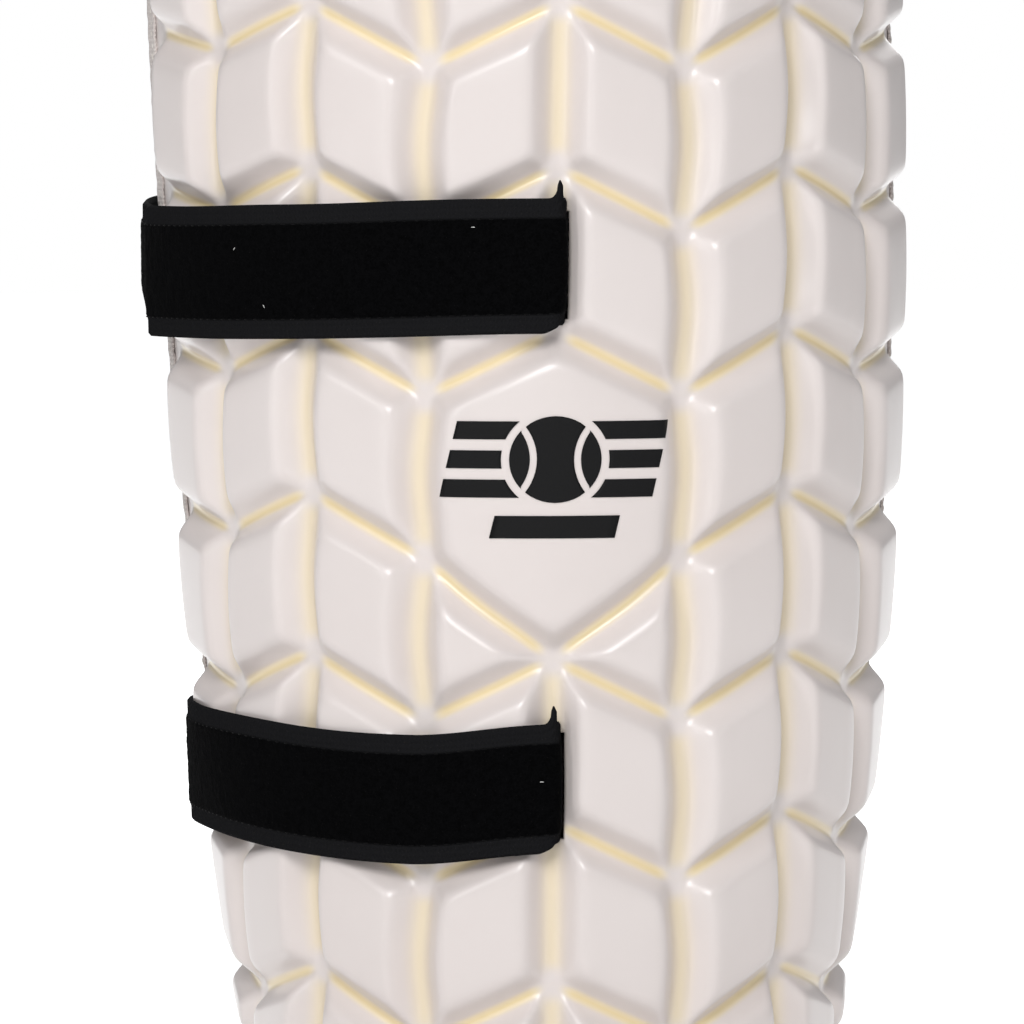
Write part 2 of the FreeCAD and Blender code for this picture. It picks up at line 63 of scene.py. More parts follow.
# ---- The pad's shape ----------------------------------------------------------------
@dataclass(frozen=True)
class PadSurface:
    """Reference surface of the pad, at the level of the groove floors.

    A place on it is given by the arc length s from the centre line and the height z.
    """

    height: float
    side_edge: float = 164 * MM
    front_arc: float = 52 * MM
    corner_arc: float = 48 * MM
    front_rate: float = math.radians(620)
    corner_rate: float = math.radians(681)
    flank_rate: float = math.radians(552)
    bend_top: float = 0.803
    bend_gain: float = 0.291
    bend_power: float = 2.74
    twist_level: float = 190 * MM
    twist_depth: float = 30 * MM
    twist_rate: float = math.radians(1.66) / (100 * MM)
    twist_gain: float = math.radians(0.59) / (100 * MM) ** 2
    shoulder_depth: float = 50 * MM
    outer_drop: float = 0.34
    inner_drop: float = 0.66
    bottom_rise: float = 0.18
    wall: float = 5 * MM
    pad_wall: float = 16.4 * MM
    binding_wall: float = 1.6 * MM
    binding_lip: float = 6 * MM

    def bend(self, z: float) -> float:
        """Scale of the section's curvature at height z."""
        share = max(0.0, 1.0 - z / self.height)
        return self.bend_top + self.bend_gain * share**self.bend_power

    def pose(self, s: float, z: float) -> PlanPose:
        """Plan position and heading of the section, with the pad's slight twist.

        Args:
            s: arc length from the centre line.
            z: height.

        Returns:
            x, y and the heading of the surface.
        """
        x, y, turn = self.section(s, z)
        above = z - self.twist_level
        twist = above * (self.twist_rate + above * self.twist_gain)
        behind = y - self.twist_depth
        turned_x = x * math.cos(twist) - behind * math.sin(twist)
        turned_y = self.twist_depth + x * math.sin(twist) + behind * math.cos(twist)
        return turned_x, turned_y, turn + twist

    def section(self, s: float, z: float) -> PlanPose:
        """Plan position and heading of the section before the twist.

        Args:
            s: arc length from the centre line.
            z: height.

        Returns:
            x, y and the heading of the surface.
        """
        x = y = turn = 0.0
        left = abs(s)
        bend = self.bend(z)
        runs = ((self.front_arc, self.front_rate), (self.corner_arc, self.corner_rate))
        for length, rate in runs + ((1.0, self.flank_rate),):
            step = min(left, length)
            if step <= 0.0:
                break
            curvature = rate * bend
            after = turn + curvature * step
            x += (math.sin(after) - math.sin(turn)) / curvature
            y += (math.cos(turn) - math.cos(after)) / curvature
            turn = after
            left -= step
        side = -1.0 if s < 0 else 1.0
        return side * x, y, side * turn

    def point(self, s: float, z: float, out: float) -> Vector:
        """Point that lies out from the surface at arc length s and height z."""
        x, y, turn = self.pose(s, z)
        return Vector((x + out * math.sin(turn), y - out * math.cos(turn), z))

    def curvature(self, s: float, z: float) -> float:
        """Curvature of the section at arc length s."""
        a = abs(s)
        if a < self.front_arc:
            rate = self.front_rate
        elif a < self.front_arc + self.corner_arc:
            rate = self.corner_rate
        else:
            rate = self.flank_rate
        return rate * self.bend(z)

    def end_levels(self, s: float, z: float, inset: float) -> tuple[float, float]:
        """Heights of the bottom and top edges at arc length s, moved in by inset."""
        depth = max(0.0, self.section(s, z)[1] - self.shoulder_depth)
        drop = self.outer_drop if s < 0 else self.inner_drop
        return inset + self.bottom_rise * depth, self.height - inset - drop * depth

    def to_edge(self, s: float, z: float) -> float:
        """Distance of a place from the nearest edge of the pad."""
        low, high = self.end_levels(s, z, 0.0)
        return min(z - low, high - z, self.side_edge - abs(s))

    def shoulder(self) -> float:
        """Arc length at which the end edges begin to slope."""
        s = self.side_edge / 2
        while self.section(s, self.height / 2)[1] < self.shoulder_depth:
            s += 0.5 * MM
        return s


class Outline:
    """Rounded outline of the flat pattern, counter-clockwise, in arc length and height."""

    SIDE_STEPS = 5
    SHOULDER_RADIUS = 36 * MM
    SHORT_SIDE = 9 * MM
    SHORT_REACH = 45 * MM

    def __init__(self, surface: PadSurface, inset: float, radius: float = 11 * MM) -> None:
        """Args:
            surface: the pad's surface.
            inset: how far the outline lies inside the pad's edge.
            radius: rounding of the side corners.
        """
        side = surface.side_edge - inset
        shoulder = surface.shoulder()
        share = [i / self.SIDE_STEPS for i in range(self.SIDE_STEPS + 1)]
        runs = [shoulder + (side - shoulder) * part for part in share]
        radii = [self.SHOULDER_RADIUS, *[0.0] * (self.SIDE_STEPS - 1), radius]
        low = [(s, surface.end_levels(s, 0.0, inset)[0], r) for s, r in zip(runs, radii)]
        high, far = (
            [
                (sign * s, surface.end_levels(sign * s, surface.height, inset)[1], r)
                for s, r in zip(runs, radii)
            ]
            for sign in (1, -1)
        )
        near = [(-s, z, r) for s, z, r in low]
        corners = low + high[::-1] + far + near[::-1]
        self.points: list[Vector] = []
        for i, (s, z, rounding) in enumerate(corners):
            here = Vector((s, z))
            before = Vector(corners[i - 1][:2]) - here
            after = Vector(corners[(i + 1) % len(corners)][:2]) - here
            self.points += self._rounded(here, before.normalized(), after.normalized(), rounding)
        count = len(self.points)
        self.lengths = [(self.points[(i + 1) % count] - self.points[i]).length for i in range(count)]
        self.total = sum(self.lengths)

    @staticmethod
    def _rounded(here: Vector, before: Vector, after: Vector, radius: float) -> list[Vector]:
        """Points of the arc that rounds one corner."""
        if not radius:
            return [here]
        half = before.angle(after) / 2
        reach = radius / math.tan(half)
        centre = here + (before + after).normalized() * (radius / math.sin(half))
        start = here + before * reach - centre
        sweep = math.pi - 2 * half
        steps = max(3, int(sweep * 8))
        return [centre + Matrix.Rotation(sweep * i / steps, 2) @ start for i in range(steps + 1)]

    def at(self, distance: float) -> tuple[Vector, Vector]:
        """Place and inward direction at a distance along the outline."""
        left = distance % self.total
        count = len(self.points)
        for i, length in enumerate(self.lengths):
            if left <= length:
                break
            left -= length
        a, b = self.points[i], self.points[(i + 1) % count]
        t = left / max(length, 1e-9)
        before = self.points[i - 1]
        after = self.points[(i + 2) % count]
        tangent = ((b - before).normalized() * (1 - t) + (after - a).normalized() * t).normalized()
        return a.lerp(b, t), Vector((-tangent.y, tangent.x))

    def trim(self, bm: bmesh.types.BMesh) -> None:
        """Cuts a flat mesh back to the outline."""
        sides = list(zip(self.points, self.points[1:] + self.points[:1]))
        sides.sort(key=lambda side: (side[0] - side[1]).length, reverse=True)
        for a, b in sides:
            length = (b - a).length
            if length < MERGE:
                continue
            along = (b - a).normalized()
            verts = bm.verts[:]
            if length < self.SHORT_SIDE:
                verts = [v for v in verts if (v.co.xy - a).length < self.SHORT_REACH]
            faces = {face for vert in verts for face in vert.link_faces}
            edges = {edge for face in faces for edge in face.edges}
            corners = {vert for face in faces for vert in face.verts}
            bmesh.ops.bisect_plane(
                bm,
                geom=[*corners, *edges, *faces],
                dist=MERGE,
                plane_co=(a.x, a.y, 0),
                plane_no=(along.y, -along.x, 0),
                clear_outer=True,
            )


class EdgeKind(Enum):
    """What bounds a block on one side."""

    UPRIGHT = "upright groove"
    SLANTED = "slanted groove"


@dataclass(frozen=True)
class CellEdge:
    """One straight side of a raised cell, with its inward normal."""

    start: Vector
    inward: Vector
    kind: EdgeKind

    @staticmethod
    def between(a: Vector, b: Vector) -> "CellEdge":
        """Side from a to b of a counter-clockwise cell."""
        along = (b - a).normalized()
        kind = EdgeKind.UPRIGHT if abs(along.x) < 0.01 else EdgeKind.SLANTED
        return CellEdge(a, Vector((-along.y, along.x)), kind)

    def distance(self, at: Vector) -> float:
        """Distance of a place inside the side's line."""
        return (at - self.start).dot(self.inward)


@dataclass
class Relief:
    """Height of the moulded face and the tint of its grooves at one place."""

    height: float
    tint: float


@dataclass
class BlockPattern:
    """Zigzag blocks, the smooth panel and the two triangles below it."""

    surface: PadSurface
    pitch: float = 37.5 * MM
    columns: int = 4
    row_pitch: float = 47.4 * MM
    first_row: float = 42.6 * MM
    drops: dict[int, float] = field(
        default_factory=lambda: {1: 18.7 * MM, 3: 13.8 * MM, 4: 7.9 * MM, 5: 7.9 * MM}
    )
    block_height: float = 7 * MM
    upright_half: float = 2.2 * MM
    slanted_half: float = 1.3 * MM
    flank: float = 5.2 * MM
    corner_softness: float = 1.25 * MM
    flank_softness: float = 0.13
    crown: float = 0.45 * MM
    bow: float = 1.7 * MM
    droop: float = 3.6 * MM
    droop_top: float = 125 * MM
    droop_span: float = 120 * MM
    crown_reach: float = 6 * MM
    tint_gap: float = 1.5 * MM
    tint_fade: float = 6 * MM
    tint_floor: float = 0.12
    slanted_tint: float = 0.68
    slanted_reach: float = 2.8 * MM
    upright_tint: float = 0.40
    upright_reach: float = 6 * MM
    rim: float = 9.1 * MM
    panel_top: int = 4
    panel_bottom: int = 2

    def node(self, line: int, row: int) -> Vector:
        """Meeting point of the grooves on a column line."""
        drop = self.drops.get(abs(line), 0.0)
        return Vector((line * self.pitch, self.first_row + row * self.row_pitch - drop))

    def drop_at(self, s: float) -> float:
        """How far the groove rows lie below their peaks at arc length s."""
        u = abs(s) / self.pitch
        line = int(u)
        low, high = self.drops.get(line, 0.0), self.drops.get(line + 1, 0.0)
        return low + (high - low) * (u - line)

    def row_at(self, s: float, z: float) -> float:
        """Row number, with its fraction, at a place."""
        return (z - self.lift_at(s, z) - self.first_row + self.drop_at(s)) / self.row_pitch

    def lift_at(self, s: float, z: float) -> float:
        """Rise of the low rows towards the sides."""
        fade = smooth((self.droop_top - z) / self.droop_span)
        return self.droop * fade * (s / (3 * self.pitch)) ** 2

    def bow_at(self, s: float, row: float) -> float:
        """Sideways bow of the upright grooves between two rows."""
        share = max(-1.0, min(1.0, s / self.pitch))
        return self.bow * share * math.sin(math.pi * row) ** 2

    def cell(self, column: int, row: int, at: Vector) -> tuple[list[Vector], bool]:
        """Corners of the cell that holds a place, and whether it is the panel."""
        right, left = column + 1, column
        if column in (-1, 0) and self.panel_bottom <= row < self.panel_top:
            side = 1 if column == 0 else -1
            foot = self.node(0, self.panel_bottom)
            corner = self.node(1, self.panel_bottom + 1)
            corner.x *= side
            rise = foot.y + (corner.y - foot.y) * abs(at.x) / self.pitch
            if row > self.panel_bottom or at.y > rise:
                lines = (1, 1, 0, -1, -1, 0)
                rows = (3, 4, 4, 4, 3, 2)
                return [self.node(line, r) for line, r in zip(lines, rows)], True
            low = [self.node(left, row), self.node(right, row)]
            return low + [corner], False
        low = [self.node(left, row), self.node(right, row)]
        return low + [self.node(right, row + 1), self.node(left, row + 1)], False

    def relief(self, s: float, z: float) -> Relief:
        """Moulded relief at a place on the pad.

        Args:
            s: arc length from the centre line.
            z: height.

        Returns:
            The height over the groove floors and the groove tint.
        """
        flat_s = s - self.bow_at(s, self.row_at(s, z))
        at = Vector((flat_s, z - self.lift_at(s, z)))
        column = math.floor(flat_s / self.pitch)
        if not -self.columns <= column < self.columns:
            return Relief(0.0, 0.0)
        row = math.floor((at.y - self.first_row + self.drop_at(flat_s)) / self.row_pitch)
        corners, is_panel = self.cell(column, row, at)
        edges = [CellEdge.between(a, b) for a, b in zip(corners, corners[1:] + corners[:1])]
        near = {EdgeKind.UPRIGHT: 1.0, EdgeKind.SLANTED: 1.0}
        halves = {EdgeKind.UPRIGHT: self.upright_half, EdgeKind.SLANTED: self.slanted_half}
        total = 0.0
        for edge in edges:
            distance = edge.distance(at)
            near[edge.kind] = min(near[edge.kind], distance)
            total += math.exp(-(distance - halves[edge.kind]) / self.corner_softness)
        for distance in self._to_rim(s, z):
            total += math.exp(-distance / self.corner_softness)
        inside = -self.corner_softness * math.log(total)
        share = self._ramp(inside / self.flank)
        height = self.block_height * share
        height += self.crown * (1 - math.exp(-max(0.0, inside - self.flank) / self.crown_reach))
        if not is_panel:
            reach = self.pitch / 2 - self.upright_half - self.flank
            offset = min(abs(flat_s - (column + 0.5) * self.pitch), reach)
            height += share * self.surface.curvature(s, z) * (offset**2 - reach**2) / 2
        return Relief(height, self._tint(at, near, corners))

    def _to_rim(self, s: float, z: float) -> tuple[float, float]:
        """Distances inside the bottom and top limits of the blocks."""
        low, high = self.surface.end_levels(s, z, self.rim)
        return z - low, high - z

    def _ramp(self, t: float) -> float:
        """Straight flank from 0 to 1 with a rounded foot and a rounded shoulder."""
        soft = self.flank_softness
        low = math.exp(min(t / soft, 60.0))
        high = math.exp(min((t - 1.0) / soft, 60.0))
        return min(1.0, soft * math.log((1.0 + low) / (1.0 + high)))

    def _tint(self, at: Vector, near: dict[EdgeKind, float], corners: list[Vector]) -> float:
        """Strength of the groove tint: strong in slanted grooves, weak at their ends."""
        to_node = min((at - corner).length for corner in corners)
        fade = smooth((to_node - self.tint_gap) / self.tint_fade)
        slanted = self.slanted_tint * smooth(1.0 - near[EdgeKind.SLANTED] / self.slanted_reach)
        upright = self.upright_tint * smooth(1.0 - near[EdgeKind.UPRIGHT] / self.upright_reach)
        return max(slanted, upright) * (self.tint_floor + (1 - self.tint_floor) * fade)


# ---- Finishes -----------------------------------------------------------------------
class Graph:
    """Small helper that adds and links the nodes of one material or group."""

    def __init__(self, tree: bpy.types.NodeTree) -> None:
        """Keeps the tree."""
        self.tree = tree

    def add(self, kind: str, settings: dict | None = None, **inputs: object) -> bpy.types.Node:
        """Adds a node.

        Args:
            kind: node type.
            settings: the node's own properties.
            inputs: socket values or sockets to link; underscores stand for spaces.

        Returns:
            The node.
        """
        node = self.tree.nodes.new(kind)
        for name, value in (settings or {}).items():
            setattr(node, name, value)
        for name, value in inputs.items():
            self.plug(node.inputs[name.replace("_", " ")], value)
        return node

    def plug(self, socket: bpy.types.NodeSocket, value: object) -> None:
        """Links a socket to another, or sets its value."""
        if isinstance(value, bpy.types.NodeSocket):
            self.tree.links.new(value, socket)
        elif isinstance(value, tuple) and len(value) == 3 and socket.type == "RGBA":
            socket.default_value = (*value, 1.0)
        else:
            socket.default_value = value

    def maths(
        self, operation: str, a: object, b: object = 0.0, clamp: bool = False
    ) -> bpy.types.NodeSocket:
        """Result of a Math node."""
        node = self.tree.nodes.new("ShaderNodeMath")
        node.operation = operation
        node.use_clamp = clamp
        self.plug(node.inputs[0], a)
        self.plug(node.inputs[1], b)
        return node.outputs[0]

    def mix(self, factor: object, a: object, b: object) -> bpy.types.NodeSocket:
        """Mix of two colours."""
        node = self.add("ShaderNodeMix", {"data_type": "RGBA"}, Factor=factor)
        self.plug(node.inputs[6], a)
        self.plug(node.inputs[7], b)
        return node.outputs[2]

    def ramp(self, value: bpy.types.NodeSocket, low: float, high: float) -> bpy.types.NodeSocket:
        """Value stretched so that low becomes 0 and high becomes 1."""
        node = self.add("ShaderNodeMapRange", {"interpolation_type": "SMOOTHSTEP"}, Value=value)
        node.inputs["From Min"].default_value = low
        node.inputs["From Max"].default_value = high
        return node.outputs[0]


def new_group(name: str, inputs: Sequence[tuple[str, str, object]], outputs: Sequence[tuple[str, str]]):
    """Empty shader node group.

    Args:
        name: the group's name.
        inputs: name, socket type and default of each input.
        outputs: name and socket type of each output.

    Returns:
        The group, its graph, its input node and its output node.
    """
    group = bpy.data.node_groups.new(name, "ShaderNodeTree")
    for label, kind, default in inputs:
        socket = group.interface.new_socket(name=label, in_out="INPUT", socket_type=kind)
        if default is not None:
            socket.default_value = default
    for label, kind in outputs:
        group.interface.new_socket(name=label, in_out="OUTPUT", socket_type=kind)
    graph = Graph(group)
    return group, graph, graph.add("NodeGroupInput"), graph.add("NodeGroupOutput")


def make_weave_group() -> bpy.types.NodeTree:
    """Crossing yarns: a height and a shade from a place in metres."""
    group, graph, given, result = new_group(
        "yarn_weave",
        (("Place", "NodeSocketVector", None), ("Yarns per metre", "NodeSocketFloat", 1200.0),
         ("Ribs per metre", "NodeSocketFloat", 600.0)),
        (("Height", "NodeSocketFloat"), ("Shade", "NodeSocketFloat")),
    )
    split = graph.add("ShaderNodeSeparateXYZ", Vector=given.outputs["Place"])
    waves = []
    for i, label in enumerate(("Yarns per metre", "Ribs per metre")):
        turns = graph.maths("MULTIPLY", given.outputs[label], math.tau)
        waves.append(graph.maths("SINE", graph.maths("MULTIPLY", split.outputs[i], turns)))
    cross = graph.maths("MULTIPLY", graph.maths("MULTIPLY", *waves), 0.5)
    height = graph.maths("ADD", cross, graph.maths("MULTIPLY", waves[1], 0.5))
    fuzz = graph.add("ShaderNodeTexNoise", Vector=given.outputs["Place"], Scale=2600.0, Detail=3.0)
    total = graph.maths("ADD", height, fuzz.outputs[0])
    graph.plug(result.inputs["Height"], total)
    graph.plug(result.inputs["Shade"], graph.ramp(total, -0.6, 1.4))
    return group


def make_wear_group() -> bpy.types.NodeTree:
    """Slow cloudy variation and fine specks, from a place in metres."""
    group, graph, given, result = new_group(
        "soft_variation",
        (("Place", "NodeSocketVector", None), ("Cloud scale", "NodeSocketFloat", 9.0),
         ("Grain scale", "NodeSocketFloat", 1500.0)),
        (("Cloud", "NodeSocketFloat"), ("Grain", "NodeSocketFloat")),
    )
    place = given.outputs["Place"]
    cloud, grain = (
        graph.add("ShaderNodeTexNoise", Vector=place, Scale=given.outputs[label], Detail=detail)
        for label, detail in (("Cloud scale", 2.0), ("Grain scale", 4.0))
    )
    graph.plug(result.inputs["Cloud"], graph.ramp(cloud.outputs[0], 0.3, 0.7))
    graph.plug(result.inputs["Grain"], grain.outputs[0])
    return group


@dataclass(frozen=True)
class Finish:
    """Plain values that every finish shares."""

    name: str
    base: Colour
    second: Colour
    roughness: float
    specular: float = 0.5
    coat: float = 0.0
    sheen: float = 0.0

    def start(self) -> tuple[bpy.types.Material, Graph, bpy.types.Node, bpy.types.Node]:
        """New material with its shader.

        Returns:
            The material, its graph, the shader and the coordinate node.
        """
        material = bpy.data.materials.new(self.name)
        material.use_nodes = True
        graph = Graph(material.node_tree)
        shader = material.node_tree.nodes["Principled BSDF"]
        shader.inputs["Base Color"].default_value = (*self.base, 1.0)
        shader.inputs["Roughness"].default_value = self.roughness
        shader.inputs["Specular IOR Level"].default_value = self.specular
        shader.inputs["Coat Weight"].default_value = self.coat
        shader.inputs["Coat Roughness"].default_value = 0.28
        shader.inputs["Sheen Weight"].default_value = self.sheen
        shader.inputs["Sheen Roughness"].default_value = 0.4
        material.diffuse_color = (*self.base, 1.0)
        return material, graph, shader, graph.add("ShaderNodeTexCoord")

    @staticmethod
    def bump(
        graph: Graph, shader: bpy.types.Node, height: object, depth: float, strength: float
    ) -> None:
        """Feeds a height to the shader's normal."""
        node = graph.add("ShaderNodeBump", Height=height, Distance=depth, Strength=strength)
        graph.plug(shader.inputs["Normal"], node.outputs[0])


@dataclass(frozen=True)
class SkinFinish(Finish):
    """Satin coated face of the moulding, with tinted grooves."""

    groove: Colour = (0.74, 0.56, 0.20)
    groove_edge: Colour = (0.82, 0.70, 0.50)

    def make(self, variation: bpy.types.NodeTree) -> bpy.types.Material:
        """Builds the material."""
        material, graph, shader, place = self.start()
        soft = graph.add("ShaderNodeGroup", {"node_tree": variation}, Place=place.outputs["Object"])
        body = graph.mix(soft.outputs["Cloud"], self.base, self.second)
        tint = graph.add("ShaderNodeAttribute", {"attribute_name": "groove_tint"}).outputs["Fac"]
        halo = graph.mix(graph.ramp(tint, 0.02, 0.5), body, self.groove_edge)
        colour = graph.mix(graph.ramp(tint, 0.35, 1.0), halo, self.groove)
        graph.plug(shader.inputs["Base Color"], colour)
        rough = graph.maths("ADD", self.roughness, graph.maths("MULTIPLY", soft.outputs["Grain"], 0.10))
        graph.plug(shader.inputs["Roughness"], rough)
        self.bump(graph, shader, soft.outputs["Grain"], 0.05 * MM, 0.18)
        return material


@dataclass(frozen=True)
class StrapFinish(Finish):
    """Black strap: woven selvedges and, between them, brushed loops or plain ribs."""

    selvedge: float = 5.6 * MM
    half_width: float = 19.5 * MM
    pile: float = 1.0
    yarns: float = 900.0
    ribs: float = 520.0
    woven: Colour = (0.0105, 0.0105, 0.0115)

    def make(self, weave: bpy.types.NodeTree) -> bpy.types.Material:
        """Builds the material."""
        material, graph, shader, place = self.start()
        across = graph.add("ShaderNodeSeparateXYZ", Vector=place.outputs["UV"]).outputs[1]
        from_edge = graph.maths("SUBTRACT", self.half_width, graph.maths("ABSOLUTE", across))
        inner = graph.ramp(from_edge, self.selvedge - 0.5 * MM, self.selvedge + 0.5 * MM)
        yarn = graph.add("ShaderNodeGroup", {"node_tree": weave}, Place=place.outputs["UV"])
        yarn.inputs["Yarns per metre"].default_value = self.yarns
        yarn.inputs["Ribs per metre"].default_value = self.ribs
        loops = graph.add("ShaderNodeTexVoronoi", Vector=place.outputs["UV"], Scale=1500.0)
        tufts = graph.add("ShaderNodeTexNoise", Vector=place.outputs["UV"], Scale=420.0, Detail=6.0)
        loop_height = graph.maths("MULTIPLY", loops.outputs["Distance"], 0.7)
        fluff = graph.maths("ADD", loop_height, tufts.outputs[0])
        share = graph.maths("MULTIPLY", inner, self.pile)
        pick = graph.add("ShaderNodeMix", {"data_type": "FLOAT"}, Factor=share)
        graph.plug(pick.inputs[2], yarn.outputs["Height"])
        graph.plug(pick.inputs[3], fluff)
        lit = graph.mix(graph.ramp(pick.outputs[0], 0.2, 1.2), self.base, self.second)
        if self.pile:
            lit = graph.mix(inner, self.woven, lit)
        graph.plug(shader.inputs["Base Color"], lit)
        self.bump(graph, shader, pick.outputs[0], 0.35 * MM, 0.55)
        return material


@dataclass(frozen=True)
class WovenFinish(Finish):
    """Tape, webbing or thread on Object coordinates."""

    scale: float = 900.0
    depth: float = 0.25 * MM

    def make(self, weave: bpy.types.NodeTree) -> bpy.types.Material:
        """Builds the material."""
        material, graph, shader, place = self.start()
        split = graph.add("ShaderNodeSeparateXYZ", Vector=place.outputs["Object"])
        slant = graph.maths("ADD", split.outputs[0], split.outputs[1])
        turned = graph.add("ShaderNodeCombineXYZ", X=slant, Y=split.outputs[2])
        yarn = graph.add("ShaderNodeGroup", {"node_tree": weave}, Place=turned.outputs[0])
        yarn.inputs["Yarns per metre"].default_value = self.scale
        yarn.inputs["Ribs per metre"].default_value = self.scale
        graph.plug(shader.inputs["Base Color"], graph.mix(yarn.outputs["Shade"], self.base, self.second))
        self.bump(graph, shader, yarn.outputs["Height"], self.depth, 0.6)
        return material


@dataclass(frozen=True)
class MeshFinish(Finish):
    """Knitted spacer mesh with small round holes; their near-black colour is painted shade inside the
    openings.
    """

    holes: float = 420.0
    painted_hole_shade: Colour = (0.004, 0.004, 0.005)

    def make(self) -> bpy.types.Material:
        """Builds the material."""
        material, graph, shader, place = self.start()
        cells = graph.add(
            "ShaderNodeTexVoronoi", Vector=place.outputs["UV"], Scale=self.holes, Randomness=0.25
        )
        hole = graph.ramp(cells.outputs["Distance"], 0.28, 0.42)
        fuzz = graph.add("ShaderNodeTexNoise", Vector=place.outputs["UV"], Scale=1800.0, Detail=3.0)
        yarn = graph.mix(fuzz.outputs[0], self.base, self.second)
        # Painted shade: the holes are coloured near-black as the shade inside the openings, not as a
        # colour of the yarn.
        graph.plug(shader.inputs["Base Color"], graph.mix(hole, self.painted_hole_shade, yarn))
        self.bump(graph, shader, hole, 0.5 * MM, 0.8)
        return material


@dataclass(frozen=True)
class MouldedFinish(Finish):
    """Plain moulded, printed or foamed surface with a fine grain."""

    grain: float = 1800.0
    depth: float = 0.06 * MM

    def make(self, variation: bpy.types.NodeTree) -> bpy.types.Material:
        """Builds the material."""
        material, graph, shader, place = self.start()
        soft = graph.add("ShaderNodeGroup", {"node_tree": variation}, Place=place.outputs["Object"])
        soft.inputs["Grain scale"].default_value = self.grain
        graph.plug(shader.inputs["Base Color"], graph.mix(soft.outputs["Grain"], self.base, self.second))
        self.bump(graph, shader, soft.outputs["Grain"], self.depth, 0.4)
        return material


class Wardrobe:
    """Every finish of the pad, made once."""

    def __init__(self) -> None:
        """Builds the node groups and the materials."""
        weave = make_weave_group()
        variation = make_wear_group()
        self.skin = SkinFinish(
            "pearl_skin", (0.745, 0.675, 0.65), (0.77, 0.705, 0.682), 0.34, coat=0.7
        ).make(variation)
        self.loop = StrapFinish(
            "loop_elastic", (0.0004, 0.0004, 0.0005), (0.0022, 0.0022, 0.0025), 1.0, 0.03
        ).make(weave)
        self.plain = StrapFinish(
            "plain_elastic", (0.002, 0.002, 0.0022), (0.010, 0.010, 0.011), 0.85, 0.15, pile=0.0
        ).make(weave)
        self.webbing = WovenFinish(
            "webbing", (0.002, 0.002, 0.0022), (0.011, 0.011, 0.012), 0.8, 0.2
        ).make(weave)
        self.tape = WovenFinish(
            "binding_tape", (0.66, 0.60, 0.57), (0.77, 0.71, 0.68), 0.7, 0.3, scale=700.0
        ).make(weave)
        self.thread = WovenFinish(
            "thread", (0.0015, 0.0015, 0.0017), (0.0045, 0.0045, 0.005), 0.7, 0.1, scale=2400.0
        ).make(weave)
        self.pale_thread = WovenFinish(
            "pale_thread", (0.72, 0.68, 0.62), (0.86, 0.83, 0.78), 0.6, scale=2400.0
        ).make(weave)
        self.liner = MeshFinish(
            "liner_mesh", (0.030, 0.030, 0.033), (0.075, 0.075, 0.08), 0.85, 0.3, sheen=0.1
        ).make()
        self.ink = MouldedFinish(
            "print_ink", (0.003, 0.003, 0.0033), (0.006, 0.006, 0.0065), 0.6, 0.15
        ).make(variation)
        self.hooks = MouldedFinish(
            "hook_tape", (0.006, 0.006, 0.007), (0.016, 0.016, 0.018), 0.5
        ).make(variation)
        self.grip = MouldedFinish(
            "grip_rubber", (0.012, 0.012, 0.013), (0.02, 0.02, 0.022), 0.55
        ).make(variation)
        self.foam = MouldedFinish(
            "foam", (0.05, 0.05, 0.055), (0.09, 0.09, 0.095), 0.9, grain=700.0, depth=0.3 * MM
        ).make(variation)
        self.lint = MouldedFinish(
            "lint", (0.55, 0.55, 0.53), (0.75, 0.75, 0.73), 0.9
        ).make(variation)


# ---- Mesh helpers ---------------------------------------------------------------------
class MeshMaker:
    """Turns bmeshes into pieces in the scene."""

    @staticmethod
    def grid(bm: bmesh.types.BMesh, across: int, up: int) -> list[tuple[bmesh.types.BMVert, int, int]]:
        """Adds a flat grid and says which column and row each corner has."""
        made = bmesh.ops.create_grid(bm, x_segments=across, y_segments=up, size=1.0)["verts"]
        return [(v, round((v.co.x + 1) / 2 * across), round((v.co.y + 1) / 2 * up)) for v in made]

    @staticmethod
    def thicken(bm: bmesh.types.BMesh) -> None:
        """Makes a flat sheet a closed slab whose new side lies one unit higher."""
        made = bmesh.ops.extrude_face_region(bm, geom=bm.faces[:], use_keep_orig=True)["geom"]
        raised = [item for item in made if isinstance(item, bmesh.types.BMVert)]
        bmesh.ops.translate(bm, verts=raised, vec=(0, 0, 1))

    @staticmethod
    def sheet(surface: PadSurface, outline: "Outline", across: int, up: int) -> bmesh.types.BMesh:
        """Flat grid over the whole pad, cut back to an outline."""
        bm = bmesh.new()
        for vert, i, j in MeshMaker.grid(bm, across, up):
            s = (2 * i / across - 1) * surface.side_edge
            vert.co = (s, surface.height * j / up, 0)
        outline.trim(bm)
        return bm

    @staticmethod
    def finish(
        name: str, bm: bmesh.types.BMesh, materials: Sequence[bpy.types.Material], slot: str
    ) -> bpy.types.Object:
        """Makes the piece.

        Args:
            name: the piece's name.
            bm: its mesh, which is freed.
            materials: materials by face index.
            slot: name of a material slot; not used.

        Returns:
            The new object, at the origin.
        """
        mesh = bpy.data.meshes.new(name)
        bm.to_mesh(mesh)
        bm.free()
        for material in materials:
            mesh.materials.append(material)
        mesh.shade_smooth()
        piece = bpy.data.objects.new(name, mesh)
        bpy.context.scene.collection.objects.link(piece)
        LOG.info("%s: %d faces", name, len(mesh.polygons))
        return piece

    @staticmethod
    def stitch(
        bm: bmesh.types.BMesh, place: Vector, along: Vector, out: Vector,
        length: float, thick: float, index: int,
    ) -> None:
        """Adds one short thread that lies on a surface."""
        x = along.normalized()
        z = (out - x * out.dot(x)).normalized()
        y = z.cross(x)
        turn = Matrix((x, y, z)).transposed().to_4x4()
        size = Matrix.Diagonal((length / 2, thick / 2, thick / 2, 1.0))
        matrix = Matrix.Translation(place) @ turn @ size
        made = bmesh.ops.create_icosphere(bm, subdivisions=1, radius=1.0, matrix=matrix)
        for face in {face for vert in made["verts"] for face in vert.link_faces}:
            face.material_index = index


